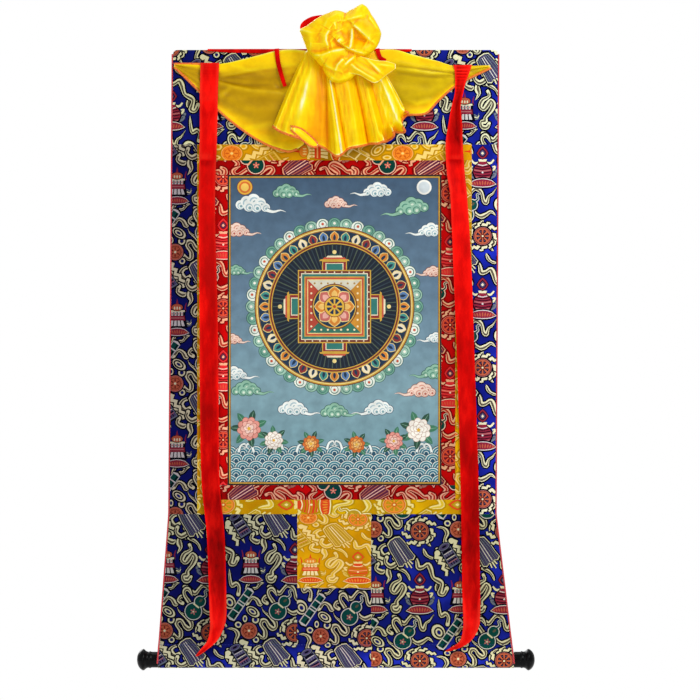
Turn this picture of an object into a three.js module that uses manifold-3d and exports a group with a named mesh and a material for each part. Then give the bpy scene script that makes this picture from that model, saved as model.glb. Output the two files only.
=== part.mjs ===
// Thangka scroll painting: a painted canvas sewn into red and gold brocade borders on a pieced blue
// brocade ground, with a roller in its bottom sleeve, red edge piping, two hanging red ribbons and a
// yellow silk veil gathered up into a rosette with a pleated skirt and two swagged wings.
// Millimetres, +Z up, +X to the right as it is looked at, -Y towards the viewer.
// The origin is the middle of the top edge, where the scroll hangs.
import * as THREE from "three";
import Module from "manifold-3d";

const wasm = await Module();
wasm.setup();

// Driving dimensions of the scroll
const CLOTH = 1.5; // thickness of a lined brocade panel
const CANVAS = 1.2; // thickness of the painted canvas
const SILK = 1.2; // thickness of the veil with its rolled hem
const SATIN = 1.0; // thickness of the ribbons and tapes
const GAP = 0.3; // clearance between pieces that are sewn or laid together
const LENGTH = 896; // top edge to the bottom of the roller sleeve
const TOP_SEAM = -137; // lower edge of the top panel
const LOW_SEAM = -673; // upper edge of the bottom panels
const CORNER = 6; // rounding of the two top corners
const HEM = { depth: 14, fold: 1.5 }; // the top hem is turned to the back
const GOLD = { half: 199, top: 23, bottom: 21, side: 24 }; // outer border
const RED = { top: 21, bottom: 21, side: 20 }; // inner border
const DOOR = { left: -54, right: 53, drop: 107 }; // gold square under the painting
const DOWEL = { radius: 10.2, socket: 12 };
const KNOB = { length: 30, neck: 11.5, flange: 15.6, ridge: 12.4, facets: 20 };
const PIPING = { radius: 1.2, sides: 6 };
const RIBBON = 27; // width of the two hanging ribbons

// The scroll's outline, left and right edge at each level
const OUTLINE = [
  { z: 0, left: -234, right: 237 },
  { z: LOW_SEAM, left: -239, right: 233 },
  { z: -LENGTH, left: -256, right: 260 },
];
const SLEEVE = { radius: 12, stitch: 20, y: 0, z: -LENGTH + 12 };

const MATERIALS = {
  blue: new THREE.MeshStandardMaterial({ color: 0x16207a, roughness: 0.55, metalness: 0 }),
  gold: new THREE.MeshStandardMaterial({ color: 0xd6ae12, roughness: 0.5, metalness: 0 }),
  red: new THREE.MeshStandardMaterial({ color: 0xae1017, roughness: 0.55, metalness: 0 }),
  canvas: new THREE.MeshStandardMaterial({ color: 0x5f7f8c, roughness: 0.8, metalness: 0 }),
  satin: new THREE.MeshStandardMaterial({ color: 0xdd1512, roughness: 0.35, metalness: 0 }),
  silk: new THREE.MeshStandardMaterial({ color: 0xf3c408, roughness: 0.4, metalness: 0 }),
  lacquer: new THREE.MeshStandardMaterial({ color: 0x0c0c10, roughness: 0.25, metalness: 0 }),
  wood: new THREE.MeshStandardMaterial({ color: 0x6b4a2c, roughness: 0.7, metalness: 0 }),
};

const scroll = new THREE.Group();

// Small helpers

const lerp = THREE.MathUtils.lerp;
const smooth = (from, to, x) => {
  const t = THREE.MathUtils.clamp((x - from) / (to - from), 0, 1);
  return t * t * (3 - 2 * t);
};

// Straight-line reading of a table whose key column rises or falls steadily
function readTable(table, key, at, column) {
  const rising = table[table.length - 1][key] > table[0][key];
  let i = 0;
  while (i < table.length - 2 && (rising ? at > table[i + 1][key] : at < table[i + 1][key])) i += 1;
  const a = table[i];
  const b = table[i + 1];
  return lerp(a[column], b[column], THREE.MathUtils.clamp((at - a[key]) / (b[key] - a[key]), 0, 1));
}

// Smooth reading of a table by place along it, from 0 at its first row to 1 at its last
function alongTable(table, t, column) {
  const place = THREE.MathUtils.clamp(t, 0, 1) * (table.length - 1);
  const i = Math.min(Math.floor(place), table.length - 2);
  const row = (k) => table[THREE.MathUtils.clamp(k, 0, table.length - 1)][column];
  const f = place - i;
  const m0 = (row(i + 1) - row(i - 1)) / 2;
  const m1 = (row(i + 2) - row(i)) / 2;
  const f2 = f * f;
  const f3 = f2 * f;
  return (2 * f3 - 3 * f2 + 1) * row(i) + (f3 - 2 * f2 + f) * m0 + (3 * f2 - 2 * f3) * row(i + 1) + (f3 - f2) * m1;
}

function geometryOf(points, triangles) {
  const volume = triangles.reduce((sum, [a, b, c]) => {
    const p = points[a];
    return sum + p.dot(new THREE.Vector3().crossVectors(points[b], points[c]));
  }, 0);
  const facing = volume < 0 ? triangles.map(([a, b, c]) => [a, c, b]) : triangles;
  const made = new THREE.BufferGeometry().setFromPoints(points);
  return made.setIndex(facing.flat());
}

function addPiece(name, geometry, material) {
  const shaded = geometry.index ? geometry.toNonIndexed() : geometry;
  shaded.computeVertexNormals();
  const mesh = new THREE.Mesh(shaded, material);
  mesh.name = name;
  scroll.add(mesh);
}

function solidOf(geometry) {
  return new wasm.Manifold(
    new wasm.Mesh({
      numProp: 3,
      vertProperties: new Float32Array(geometry.getAttribute("position").array),
      triVerts: new Uint32Array(geometry.index.array),
    }),
  );
}

function joined(geometries) {
  const mesh = geometries.map(solidOf).reduce((a, b) => a.add(b)).getMesh();
  const made = new THREE.BufferGeometry();
  made.setAttribute("position", new THREE.BufferAttribute(mesh.vertProperties, 3));
  return made.setIndex(new THREE.BufferAttribute(mesh.triVerts, 1));
}

// A sheet's section in Y and Z, carried across from the left edge to the right edge. Its front and back
// have a point at each level, front and back are joined at the top, and below the last level they close
// directly or by the rim and the hole of a sleeve. Rim runs from front to back, hole the other way.
function acrossSolid({ front, back, rim = [], hole = [] }, columns, place) {
  const contour = [...front, ...rim, ...[...back].reverse()];
  const section = [...contour, ...hole];
  const points = [];
  for (let c = 0; c <= columns; c += 1) section.forEach((p) => points.push(place(p.x, p.y, c / columns)));
  const triangles = [];
  const wall = (loop, first) =>
    loop.forEach((_, i) => {
      const j = (i + 1) % loop.length;
      for (let c = 0; c < columns; c += 1) {
        const near = c * section.length + first;
        const far = near + section.length;
        triangles.push([near + i, near + j, far + j], [near + i, far + j, far + i]);
      }
    });
  wall(contour, 0);
  wall(hole, contour.length);
  const last = columns * section.length;
  const cap = (a, b, c) => triangles.push([a, c, b], [last + a, last + b, last + c]);
  const behind = (i) => contour.length - 1 - i;
  for (let i = 0; i < front.length - 1; i += 1) {
    cap(i, i + 1, behind(i + 1));
    cap(i, behind(i + 1), behind(i));
  }
  if (hole.length) {
    const first = front.length - 1;
    const loop = contour.slice(first, first + rim.length + 2);
    const name = (k) => (k < loop.length ? first + k : contour.length + k - loop.length);
    THREE.ShapeUtils.triangulateShape(loop, [hole]).forEach((face) => cap(...face.map(name)));
  }
  return geometryOf(points, triangles);
}

// A sheet of even thickness on a surface that is given by two shares from 0 to 1
function sheetSolid(surface, across, down, thickness) {
  const step = 1e-3;
  const points = [];
  const at = (side, i, j) => side * (across + 1) * (down + 1) + j * (across + 1) + i;
  const normalAt = (u, v) => {
    const du = surface(Math.min(u + step, 1), v).sub(surface(Math.max(u - step, 0), v));
    const dv = surface(u, Math.min(v + step, 1)).sub(surface(u, Math.max(v - step, 0)));
    return du.cross(dv).normalize();
  };
  for (const side of [-1, 1])
    for (let j = 0; j <= down; j += 1)
      for (let i = 0; i <= across; i += 1) {
        const [u, v] = [i / across, j / down];
        points.push(surface(u, v).addScaledVector(normalAt(u, v), (side * thickness) / 2));
      }
  const triangles = [];
  const quad = (a, b, c, d) => triangles.push([a, b, c], [a, c, d]);
  for (let j = 0; j < down; j += 1)
    for (let i = 0; i < across; i += 1) {
      quad(at(1, i, j), at(1, i + 1, j), at(1, i + 1, j + 1), at(1, i, j + 1));
      quad(at(0, i, j), at(0, i, j + 1), at(0, i + 1, j + 1), at(0, i + 1, j));
    }
  for (let i = 0; i < across; i += 1) {
    quad(at(0, i, 0), at(0, i + 1, 0), at(1, i + 1, 0), at(1, i, 0));
    quad(at(0, i + 1, down), at(0, i, down), at(1, i, down), at(1, i + 1, down));
  }
  for (let j = 0; j < down; j += 1) {
    quad(at(0, 0, j + 1), at(0, 0, j), at(1, 0, j), at(1, 0, j + 1));
    quad(at(0, across, j), at(0, across, j + 1), at(1, across, j + 1), at(1, across, j));
  }
  return geometryOf(points, triangles);
}

// A round cord through the points of a path that runs downwards
function cordSolid(path, radius, sides) {
  const points = [];
  path.forEach((p, k) => {
    const ahead = path[Math.min(k + 1, path.length - 1)].clone().sub(path[Math.max(k - 1, 0)]).normalize();
    const depth = new THREE.Vector3(1, 0, 0).cross(ahead).normalize();
    const across = ahead.clone().cross(depth);
    for (let i = 0; i < sides; i += 1) {
      const a = (2 * Math.PI * i) / sides;
      const out = across.clone().multiplyScalar(Math.cos(a)).addScaledVector(depth, Math.sin(a));
      points.push(p.clone().addScaledVector(out, radius));
    }
  });
  const triangles = [];
  const last = (path.length - 1) * sides;
  for (let i = 0; i < sides; i += 1) {
    const j = (i + 1) % sides;
    for (let k = 0; k < last; k += sides)
      triangles.push([k + i, k + j, k + sides + j], [k + i, k + sides + j, k + sides + i]);
    if (i > 0 && j > 0) triangles.push([0, j, i], [last, last + i, last + j]);
  }
  return geometryOf(points, triangles);
}

// The hang of the ground: gentle billows between the straight top hem and the straight roller
const BILLOW = { ends: [-150, -260, -780, -850], across: 1.1, down: 1.5, edge: 1.4, half: 245 };
function billowAt(x, z) {
  const [start, full, fading, end] = BILLOW.ends;
  const held = smooth(start, full, z) * (1 - smooth(fading, end, z));
  const wave = BILLOW.across * Math.sin(x / 66 + 0.7) + BILLOW.down * Math.sin(z / 84 + x / 290);
  return held * (wave - BILLOW.edge * (x / BILLOW.half) ** 4);
}

const outlineAt = (side, z) => readTable(OUTLINE, "z", z, side);
// The two top corners are rounded
const cornerInset = (z) => (z < -CORNER ? 0 : CORNER - Math.sqrt(Math.max(0, CORNER ** 2 - (CORNER + z) ** 2)));
const leftEdge = (z) => outlineAt("left", z) + cornerInset(z);
const rightEdge = (z) => outlineAt("right", z) - cornerInset(z);

// Carries a point of a section to its place across a panel and out with the billows
const acrossPanel = (left, right) => (y, z, t) => {
  const x = lerp(left(z), right(z), t);
  return new THREE.Vector3(x, y + billowAt(x, z), z);
};

// A flat panel between two levels, whose sides are functions of the level
function panel(name, material, { levels, left, right, columns, thickness = CLOTH, hem = 0 }) {
  const front = levels.map((z) => new THREE.Vector2(-thickness / 2, z));
  const back = levels.map((z) => new THREE.Vector2(thickness / 2 + (z >= -hem && hem ? HEM.fold : 0), z));
  addPiece(name, acrossSolid({ front, back }, columns, acrossPanel(left, right)), material);
}

// Levels from the top of a panel to its bottom, about a given step apart
function levelsBetween(top, bottom, step) {
  const count = Math.max(1, Math.round((top - bottom) / step));
  return Array.from({ length: count + 1 }, (_, i) => lerp(top, bottom, i / count));
}

// Blue brocade ground

const EASE = GAP / 2; // each panel gives up half of the clearance at a seam
const fixed = (x) => () => x;

function topPanel() {
  const corner = [0, -CORNER * 0.14, -CORNER * 0.5, -CORNER];
  const levels = [...corner, -HEM.depth, ...levelsBetween(-HEM.depth - 0.8, TOP_SEAM + EASE, 41)];
  panel("ground_top", MATERIALS.blue, { levels, left: leftEdge, right: rightEdge, columns: 10, hem: HEM.depth });
}

function sidePanels() {
  const levels = levelsBetween(TOP_SEAM - EASE, LOW_SEAM + EASE, 38);
  const inner = GOLD.half + EASE;
  panel("ground_left", MATERIALS.blue, { levels, left: leftEdge, right: fixed(-inner), columns: 2 });
  panel("ground_right", MATERIALS.blue, { levels, left: fixed(inner), right: rightEdge, columns: 2 });
}

// A bottom panel ends in a sleeve that is stitched round the roller as a teardrop
function sleevePanel(name, top, left, right, columns) {
  const half = CLOTH / 2;
  const tangent = Math.acos(SLEEVE.radius / SLEEVE.stitch);
  const arcSteps = 14;
  const arc = (radius, from, to) =>
    Array.from({ length: arcSteps + 1 }, (_, i) => {
      const a = lerp(from, to, i / arcSteps);
      return new THREE.Vector2(SLEEVE.y - radius * Math.sin(a), SLEEVE.z + radius * Math.cos(a));
    });
  const levels = levelsBetween(top, SLEEVE.z + SLEEVE.stitch, 30);
  const front = levels.map((z) => new THREE.Vector2(-half, z));
  const back = levels.map((z) => new THREE.Vector2(half, z));
  const rim = arc(SLEEVE.radius, tangent, 2 * Math.PI - tangent);
  const bore = DOWEL.radius + GAP;
  const apex = new THREE.Vector2(SLEEVE.y, SLEEVE.z + bore / Math.cos(tangent));
  const hole = [apex, ...arc(bore, tangent, 2 * Math.PI - tangent)].reverse();
  addPiece(name, acrossSolid({ front, back, rim, hole }, columns, acrossPanel(left, right)), MATERIALS.blue);
}

function bottomPanels() {
  const top = LOW_SEAM - EASE;
  sleevePanel("ground_bottom_left", top, leftEdge, fixed(DOOR.left - EASE), 6);
  sleevePanel("ground_bottom_right", top, fixed(DOOR.right + EASE), rightEdge, 6);
  const under = LOW_SEAM - DOOR.drop - EASE;
  sleevePanel("ground_bottom_centre", under, fixed(DOOR.left + EASE), fixed(DOOR.right - EASE), 3);
}

// Borders, door and painting

// A rectangular border of four strips: the top and bottom strips run the full width
function border(name, material, box, widths) {
  const strip = (side, left, right, top, bottom, columns, step) =>
    panel(`${name}_${side}`, material, {
      levels: levelsBetween(top - EASE, bottom + EASE, step),
      left: fixed(left + EASE),
      right: fixed(right - EASE),
      columns,
    });
  const inner = { top: box.top - widths.top, bottom: box.bottom + widths.bottom, half: box.half - widths.side };
  strip("top", -box.half, box.half, box.top, inner.top, 12, 40);
  strip("bottom", -box.half, box.half, inner.bottom, box.bottom, 12, 40);
  strip("left", -box.half, -inner.half, inner.top, inner.bottom, 1, 38);
  strip("right", inner.half, box.half, inner.top, inner.bottom, 1, 38);
  return inner;
}

function mountedPicture() {
  const outer = { top: TOP_SEAM, bottom: LOW_SEAM, half: GOLD.half };
  const middle = border("gold", MATERIALS.gold, outer, GOLD);
  const picture = border("red", MATERIALS.red, middle, RED);
  panel("painting", MATERIALS.canvas, {
    levels: levelsBetween(picture.top - EASE, picture.bottom + EASE, 40),
    left: fixed(-picture.half + EASE),
    right: fixed(picture.half - EASE),
    columns: 9,
    thickness: CANVAS,
  });
  panel("door", MATERIALS.gold, {
    levels: levelsBetween(LOW_SEAM - EASE, LOW_SEAM - DOOR.drop + EASE, 36),
    left: fixed(DOOR.left + EASE),
    right: fixed(DOOR.right - EASE),
    columns: 3,
  });
}

// A round cord sewn along each side edge, which runs over the front of the sleeve to the bottom
function piping(name, side, outward) {
  const off = outward * (PIPING.radius + GAP);
  const edge = side === "left" ? leftEdge : rightEdge;
  const over = SLEEVE.radius + PIPING.radius + GAP;
  const path = levelsBetween(-CORNER, SLEEVE.z + SLEEVE.stitch + 12, 48).map((z) => {
    const x = edge(z);
    return new THREE.Vector3(x + off, billowAt(x, z), z);
  });
  for (const angle of [48, 64, 80, 96, 112]) {
    const a = THREE.MathUtils.degToRad(angle);
    const z = SLEEVE.z + over * Math.cos(a);
    path.push(new THREE.Vector3(edge(z) + off, SLEEVE.y - over * Math.sin(a), z));
  }
  addPiece(name, cordSolid(path, PIPING.radius, PIPING.sides), MATERIALS.satin);
}

// Roller

function roller() {
  const leftEnd = leftEdge(-LENGTH) - GAP;
  const rightEnd = rightEdge(-LENGTH) + GAP;
  const bar = new THREE.CylinderGeometry(
    DOWEL.radius,
    DOWEL.radius,
    rightEnd - leftEnd + 2 * DOWEL.socket,
    KNOB.facets,
  );
  bar.rotateZ(Math.PI / 2);
  bar.translate((leftEnd + rightEnd) / 2, SLEEVE.y, SLEEVE.z);
  addPiece("dowel", bar, MATERIALS.wood);
  knob("knob_left", leftEnd, 1);
  knob("knob_right", rightEnd, -1);
}

// A turned cap: socket for the dowel, neck, small ridge, flange and domed end
function knob(name, x, turn) {
  const bore = DOWEL.radius + GAP;
  const floor = DOWEL.socket + GAP;
  const profile = [
    { r: 0, along: floor },
    { r: bore, along: floor },
    { r: bore, along: 0 },
    { r: KNOB.neck, along: 0 },
    { r: KNOB.neck, along: 9 },
    { r: KNOB.ridge, along: 11 },
    { r: KNOB.neck + 0.3, along: 13.5 },
    { r: KNOB.neck + 1.2, along: 16.5 },
    { r: KNOB.flange - 0.8, along: 19 },
    { r: KNOB.flange, along: 21 },
    { r: KNOB.flange - 1.2, along: 23.6 },
    { r: 11.4, along: 26.8 },
    { r: 6.4, along: 29.2 },
    { r: 0, along: KNOB.length },
  ].map(({ r, along }) => new THREE.Vector2(r, along));
  const cap = new THREE.LatheGeometry(profile, KNOB.facets);
  cap.rotateZ((turn * Math.PI) / 2);
  cap.translate(x, SLEEVE.y, SLEEVE.z);
  addPiece(name, cap, MATERIALS.lacquer);
}

// Veil: two wings, a pleated skirt, the gathered rosette, its knot and a loose flap

const VEIL_BACK = -CLOTH / 2 - GAP - SILK / 2; // mid-surface of silk that lies on the ground

// Wing sections from the tip to the gather: x, and the levels of the two edges
const LEFT_WING = [
  { x: -232.5, top: -20.4, bottom: -24.4 },
  { x: -210, top: -20.4, bottom: -46 },
  { x: -168, top: -20.7, bottom: -87.5 },
  { x: -137, top: -15, bottom: -113 },
  { x: -108, top: -7.5, bottom: -132 },
  { x: -83, top: -1.2, bottom: -143 },
  { x: -60, top: 0.5, bottom: -146 },
  { x: -36, top: -3, bottom: -112 },
  { x: -10, top: -12, bottom: -48 },
];
const RIGHT_WING = [
  { x: 226, top: -22.6, bottom: -26.4 },
  { x: 200, top: -23.4, bottom: -39 },
  { x: 174, top: -23.8, bottom: -53 },
  { x: 150, top: -16.6, bottom: -74 },
  { x: 133, top: -12, bottom: -91.5 },
  { x: 113, top: -7, bottom: -94 },
  { x: 84, top: 0.5, bottom: -93 },
  { x: 52, top: -3, bottom: -78 },
  { x: 12, top: -12, bottom: -44 },
];
// Lengthwise folds of a wing: place between its edges, half width as a share, height off the ground
const LEFT_FOLDS = [
  { at: 0.1, wide: 0.13, high: 6 },
  { at: 0.42, wide: 0.08, high: 2.6 },
  { at: 0.66, wide: 0.17, high: 8 },
  { at: 0.98, wide: 0.08, high: 3 },
];
const RIGHT_FOLDS = [
  { at: 0.2, wide: 0.15, high: 9 },
  { at: 0.62, wide: 0.2, high: 3.5 },
  { at: 0.97, wide: 0.1, high: 4 },
];

// How far a wing stands off the ground, at shares along it and down it: it rises into the knot
const WING_RISE = { from: 0.74, high: 30 };
function foldHeight(folds, u, v) {
  const swell = Math.sin(Math.PI * Math.min(1, 0.06 + 0.62 * u)) ** 0.8;
  const rise = WING_RISE.high * smooth(WING_RISE.from, 1, u);
  return folds.reduce((sum, f) => sum + swell * f.high * Math.exp(-(((v - f.at) / f.wide) ** 2)), rise);
}

// A wing lies on the ground at its tip and on the hanging tape farther in
const wingBase = (u) => VEIL_BACK - 0.1 - (SATIN + GAP) * smooth(0.06, 0.2, u);

function wingSurface(wing, folds, u, v) {
  const x = alongTable(wing, u, "x");
  const z = lerp(alongTable(wing, u, "top"), alongTable(wing, u, "bottom"), v);
  return new THREE.Vector3(x, wingBase(u) - foldHeight(folds, u, v), z);
}

// Depth of a wing's mid-surface at a place on the ground
function wingDepth(wing, folds, x, z) {
  let [low, high] = [0, 1];
  const toRight = wing[0].x < wing[wing.length - 1].x;
  for (let i = 0; i < 30; i += 1) {
    const mid = (low + high) / 2;
    if (alongTable(wing, mid, "x") < x === toRight) low = mid;
    else high = mid;
  }
  const top = alongTable(wing, low, "top");
  const v = THREE.MathUtils.clamp((z - top) / (alongTable(wing, low, "bottom") - top), 0, 1);
  return wingBase(low) - foldHeight(folds, low, v);
}

// Depth of a flat band that lies straight across a wing's folds between two places
const ON_SILK = SILK / 2 + GAP + SATIN / 2 + 0.2;
function laidOnWing(wing, folds, left, right, z) {
  const under = [-4, 0, 4].flatMap((dz) => [0, 0.5, 1].map((k) => [lerp(left, right, k), z + dz]));
  return Math.min(...under.map(([x, level]) => wingDepth(wing, folds, x, level))) - ON_SILK;
}

// Pleats of the skirt from left to right, ridges and valleys in turn: the gather and the hem
const PLEATS = [
  { neckX: -40, neckY: -10, neckZ: -14, hemX: -87, hemY: -13, hemZ: -112 },
  { neckX: -38, neckY: -17, neckZ: -15, hemX: -84, hemY: -27, hemZ: -118 },
  { neckX: -33, neckY: -23, neckZ: -17, hemX: -58, hemY: -37, hemZ: -131 },
  { neckX: -25, neckY: -17, neckZ: -22, hemX: -17, hemY: -17, hemZ: -137 },
  { neckX: -12, neckY: -26, neckZ: -28, hemX: 5, hemY: -39, hemZ: -154 },
  { neckX: -5, neckY: -20, neckZ: -30, hemX: 19, hemY: -23, hemZ: -142 },
  { neckX: 4, neckY: -26, neckZ: -30, hemX: 34, hemY: -36, hemZ: -140 },
  { neckX: 10, neckY: -19, neckZ: -29, hemX: 49, hemY: -20, hemZ: -139 },
  { neckX: 17, neckY: -25, neckZ: -27, hemX: 64, hemY: -35, hemZ: -136 },
  { neckX: 23, neckY: -18, neckZ: -24, hemX: 79, hemY: -18, hemZ: -126 },
  { neckX: 30, neckY: -22, neckZ: -20, hemX: 98, hemY: -29, hemZ: -117 },
  { neckX: 34, neckY: -12, neckZ: -15, hemX: 103, hemY: -12, hemZ: -88 },
];

function skirtSurface(u, v) {
  const read = (column) => alongTable(PLEATS, u, column);
  const belly = 4 * Math.sin(Math.PI * v);
  return new THREE.Vector3(
    lerp(read("neckX"), read("hemX"), v ** 0.92),
    lerp(read("neckY"), read("hemY"), v) - belly,
    lerp(read("neckZ"), read("hemZ"), v),
  );
}

// Outline of the rosette from the front, by angle about its middle, and its main creases
const ROSETTE = { x: 9.4, y: -30, z: 20.3, front: 27, back: 25, rings: 16, spokes: 40 };
const ROSETTE_OUTLINE = [
  { angle: -70, reach: 38.5 },
  { angle: -29, reach: 53.5 },
  { angle: -12, reach: 55 },
  { angle: 2, reach: 59 },
  { angle: 23, reach: 56 },
  { angle: 44, reach: 55.5 },
  { angle: 56, reach: 54 },
  { angle: 77, reach: 34 },
  { angle: 100, reach: 36 },
  { angle: 147, reach: 42 },
  { angle: 171, reach: 61 },
  { angle: 186, reach: 56 },
  { angle: 203, reach: 54 },
  { angle: 217, reach: 52 },
  { angle: 244, reach: 44 },
  { angle: 290, reach: 38.5 },
];
// Ridges stand out and troughs have a height below zero
const ROSETTE_CREASES = [
  { fromX: 0, fromZ: 38, toX: 21, toZ: -2, wide: 7, high: 9 },
  { fromX: 21, fromZ: -2, toX: 46, toZ: -9, wide: 7, high: 8 },
  { fromX: 26, fromZ: 31, toX: 52, toZ: 10, wide: 5, high: 6 },
  { fromX: 34, fromZ: 18, toX: 48, toZ: 10, wide: 7, high: -9 },
  { fromX: -12, fromZ: 24, toX: -10, toZ: 6, wide: 6, high: 6 },
  { fromX: 5, fromZ: 43, toX: 46, toZ: 56, wide: 7, high: 7 },
  { fromX: -20, fromZ: -12, toX: 25, toZ: -3, wide: 6, high: 7 },
  { fromX: -36, fromZ: 26, toX: -22, toZ: -2, wide: 7, high: -6 },
  { fromX: 10, fromZ: 30, toX: 18, toZ: 14, wide: 6, high: -7 },
];

function distanceToLine(crease, x, z) {
  const [dx, dz] = [crease.toX - crease.fromX, crease.toZ - crease.fromZ];
  const share = ((x - crease.fromX) * dx + (z - crease.fromZ) * dz) / (dx * dx + dz * dz);
  const t = THREE.MathUtils.clamp(share, 0, 1);
  return Math.hypot(x - crease.fromX - t * dx, z - crease.fromZ - t * dz);
}

function rosettePoint(angle, tilt) {
  const turned = angle < ROSETTE_OUTLINE[0].angle ? angle + 360 : angle;
  const reach = readTable(ROSETTE_OUTLINE, "angle", turned, "reach") * Math.sin(tilt);
  const a = THREE.MathUtils.degToRad(angle);
  const [x, z] = [ROSETTE.x + reach * Math.cos(a), ROSETTE.z + reach * Math.sin(a)];
  const facing = Math.cos(tilt);
  const relief = ROSETTE_CREASES.reduce(
    (sum, c) => sum + c.high * Math.exp(-((distanceToLine(c, x, z) / c.wide) ** 2)),
    0,
  );
  const depth = facing > 0 ? ROSETTE.front : ROSETTE.back;
  return new THREE.Vector3(x, ROSETTE.y - depth * facing - Math.max(0, facing) * relief, z);
}

// A closed lump that is given by rings from its front pole to its back pole
function lumpSolid(rings, spokes, pointAt) {
  const points = [pointAt(0, 0)];
  for (let r = 1; r < rings; r += 1)
    for (let s = 0; s < spokes; s += 1) points.push(pointAt((360 * s) / spokes - 70, (Math.PI * r) / rings));
  points.push(pointAt(0, Math.PI));
  const at = (r, s) => 1 + (r - 1) * spokes + (s % spokes);
  const triangles = [];
  for (let s = 0; s < spokes; s += 1) {
    triangles.push([0, at(1, s + 1), at(1, s)]);
    for (let r = 1; r < rings - 1; r += 1)
      triangles.push([at(r, s), at(r, s + 1), at(r + 1, s + 1)], [at(r, s), at(r + 1, s + 1), at(r + 1, s)]);
    triangles.push([at(rings - 1, s), at(rings - 1, s + 1), points.length - 1]);
  }
  return geometryOf(points, triangles);
}

const KNOT = { x: 0, y: -38, z: -27, wide: 26, deep: 19, high: 26, rings: 10, spokes: 24, folds: 5, fold: 0.07 };
function knotPoint(angle, tilt) {
  const a = THREE.MathUtils.degToRad(angle);
  const ruffle = 1 + KNOT.fold * Math.sin(KNOT.folds * a + 2 * tilt) * Math.sin(tilt);
  const reach = Math.sin(tilt) * ruffle;
  return new THREE.Vector3(
    KNOT.x + KNOT.wide * reach * Math.cos(a),
    KNOT.y - KNOT.deep * Math.cos(tilt),
    KNOT.z + KNOT.high * reach * Math.sin(a),
  );
}

// The flap leaves the knot to the right: its upper and lower edge and the ridge between them
const FLAP = [
  { x: 14, top: -2, bottom: -34, y: -40, ridge: 2 },
  { x: 36, top: -10, bottom: -38, y: -42, ridge: 5 },
  { x: 60, top: -17, bottom: -46, y: -38, ridge: 6 },
  { x: 76, top: -20, bottom: -40, y: -32, ridge: 4 },
  { x: 88, top: -23, bottom: -27, y: -26, ridge: 1 },
];
function flapSurface(u, v) {
  const read = (column) => alongTable(FLAP, u, column);
  return new THREE.Vector3(
    read("x"),
    read("y") - read("ridge") * Math.sin(Math.PI * v),
    lerp(read("top"), read("bottom"), v),
  );
}

function veil() {
  const pieces = [
    sheetSolid((u, v) => wingSurface(LEFT_WING, LEFT_FOLDS, u, v), 24, 14, SILK),
    sheetSolid((u, v) => wingSurface(RIGHT_WING, RIGHT_FOLDS, u, v), 24, 12, SILK),
    sheetSolid(skirtSurface, 55, 6, SILK),
    lumpSolid(ROSETTE.rings, ROSETTE.spokes, rosettePoint),
    lumpSolid(KNOT.rings, KNOT.spokes, knotPoint),
    sheetSolid(flapSurface, 8, 6, SILK),
  ];
  addPiece("veil", joined(pieces), MATERIALS.silk);
}

// Red ribbons, hanging tape and the ends of the tie

// Levels of a hanging ribbon with its two edges. Where it shows narrower than it is, it is turned,
// and lean says which way: above zero the right edge stands forward.
const LEFT_RIBBON = [
  { z: -19, left: -194, right: -167, y: -2.2, lean: 0 },
  { z: -60, left: -195, right: -168.5, y: -2.2, lean: 0 },
  { z: -136, left: -195.5, right: -170.5, y: -4.6, lean: 0.5 },
  { z: -232, left: -197, right: -173, y: -6, lean: 0.5 },
  { z: -391, left: -195.6, right: -169, y: -6, lean: 0.4 },
  { z: -500, left: -195, right: -168, y: -6.5, lean: 0.3 },
  { z: -623, left: -192.7, right: -166.5, y: -7, lean: -0.4 },
  { z: -701, left: -185, right: -159.5, y: -8, lean: -0.6 },
  { z: -779, left: -182, right: -157, y: -10, lean: -0.6 },
  { z: -818, left: -180.5, right: -156.5, y: -13, lean: -0.6 },
  { z: -838, left: -180, right: -160.5, y: -17, lean: -0.5 },
  { z: -856, left: -184, right: -170, y: -20, lean: -0.3 },
  { z: -870, left: -195, right: -186, y: -20, lean: -0.15 },
  { z: -878, left: -201, right: -198.5, y: -19, lean: 0 },
];
const RIGHT_RIBBON = [
  { z: -22, left: 172, right: 199, y: -2.2, lean: 0 },
  { z: -32, left: 174, right: 196, y: -2.8, lean: 0.3 },
  { z: -48, left: 174.7, right: 190, y: -4.6, lean: 0.55 },
  { z: -64, left: 174, right: 186, y: -6, lean: 0.7 },
  { z: -83, left: 169.5, right: 182.5, y: -8, lean: 0.7 },
  { z: -110, left: 164.6, right: 185, y: -8, lean: 0.6 },
  { z: -138, left: 161, right: 186, y: -7, lean: 0.3 },
  { z: -180, left: 163, right: 189, y: -7, lean: -0.3 },
  { z: -217, left: 168, right: 192.6, y: -7, lean: -0.5 },
  { z: -313, left: 172, right: 198.5, y: -7, lean: -0.4 },
  { z: -462, left: 178, right: 203.5, y: -7, lean: 0.4 },
  { z: -623, left: 182.6, right: 208.6, y: -7, lean: 0.4 },
  { z: -779, left: 185, right: 211, y: -10, lean: -0.5 },
  { z: -818, left: 186.3, right: 211, y: -13, lean: -0.6 },
  { z: -838, left: 186, right: 208.5, y: -17, lean: -0.5 },
  { z: -856, left: 181.5, right: 197.5, y: -20, lean: -0.3 },
  { z: -866, left: 168, right: 181.5, y: -20, lean: -0.15 },
  { z: -871, left: 160.5, right: 163.5, y: -19, lean: 0 },
];

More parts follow.
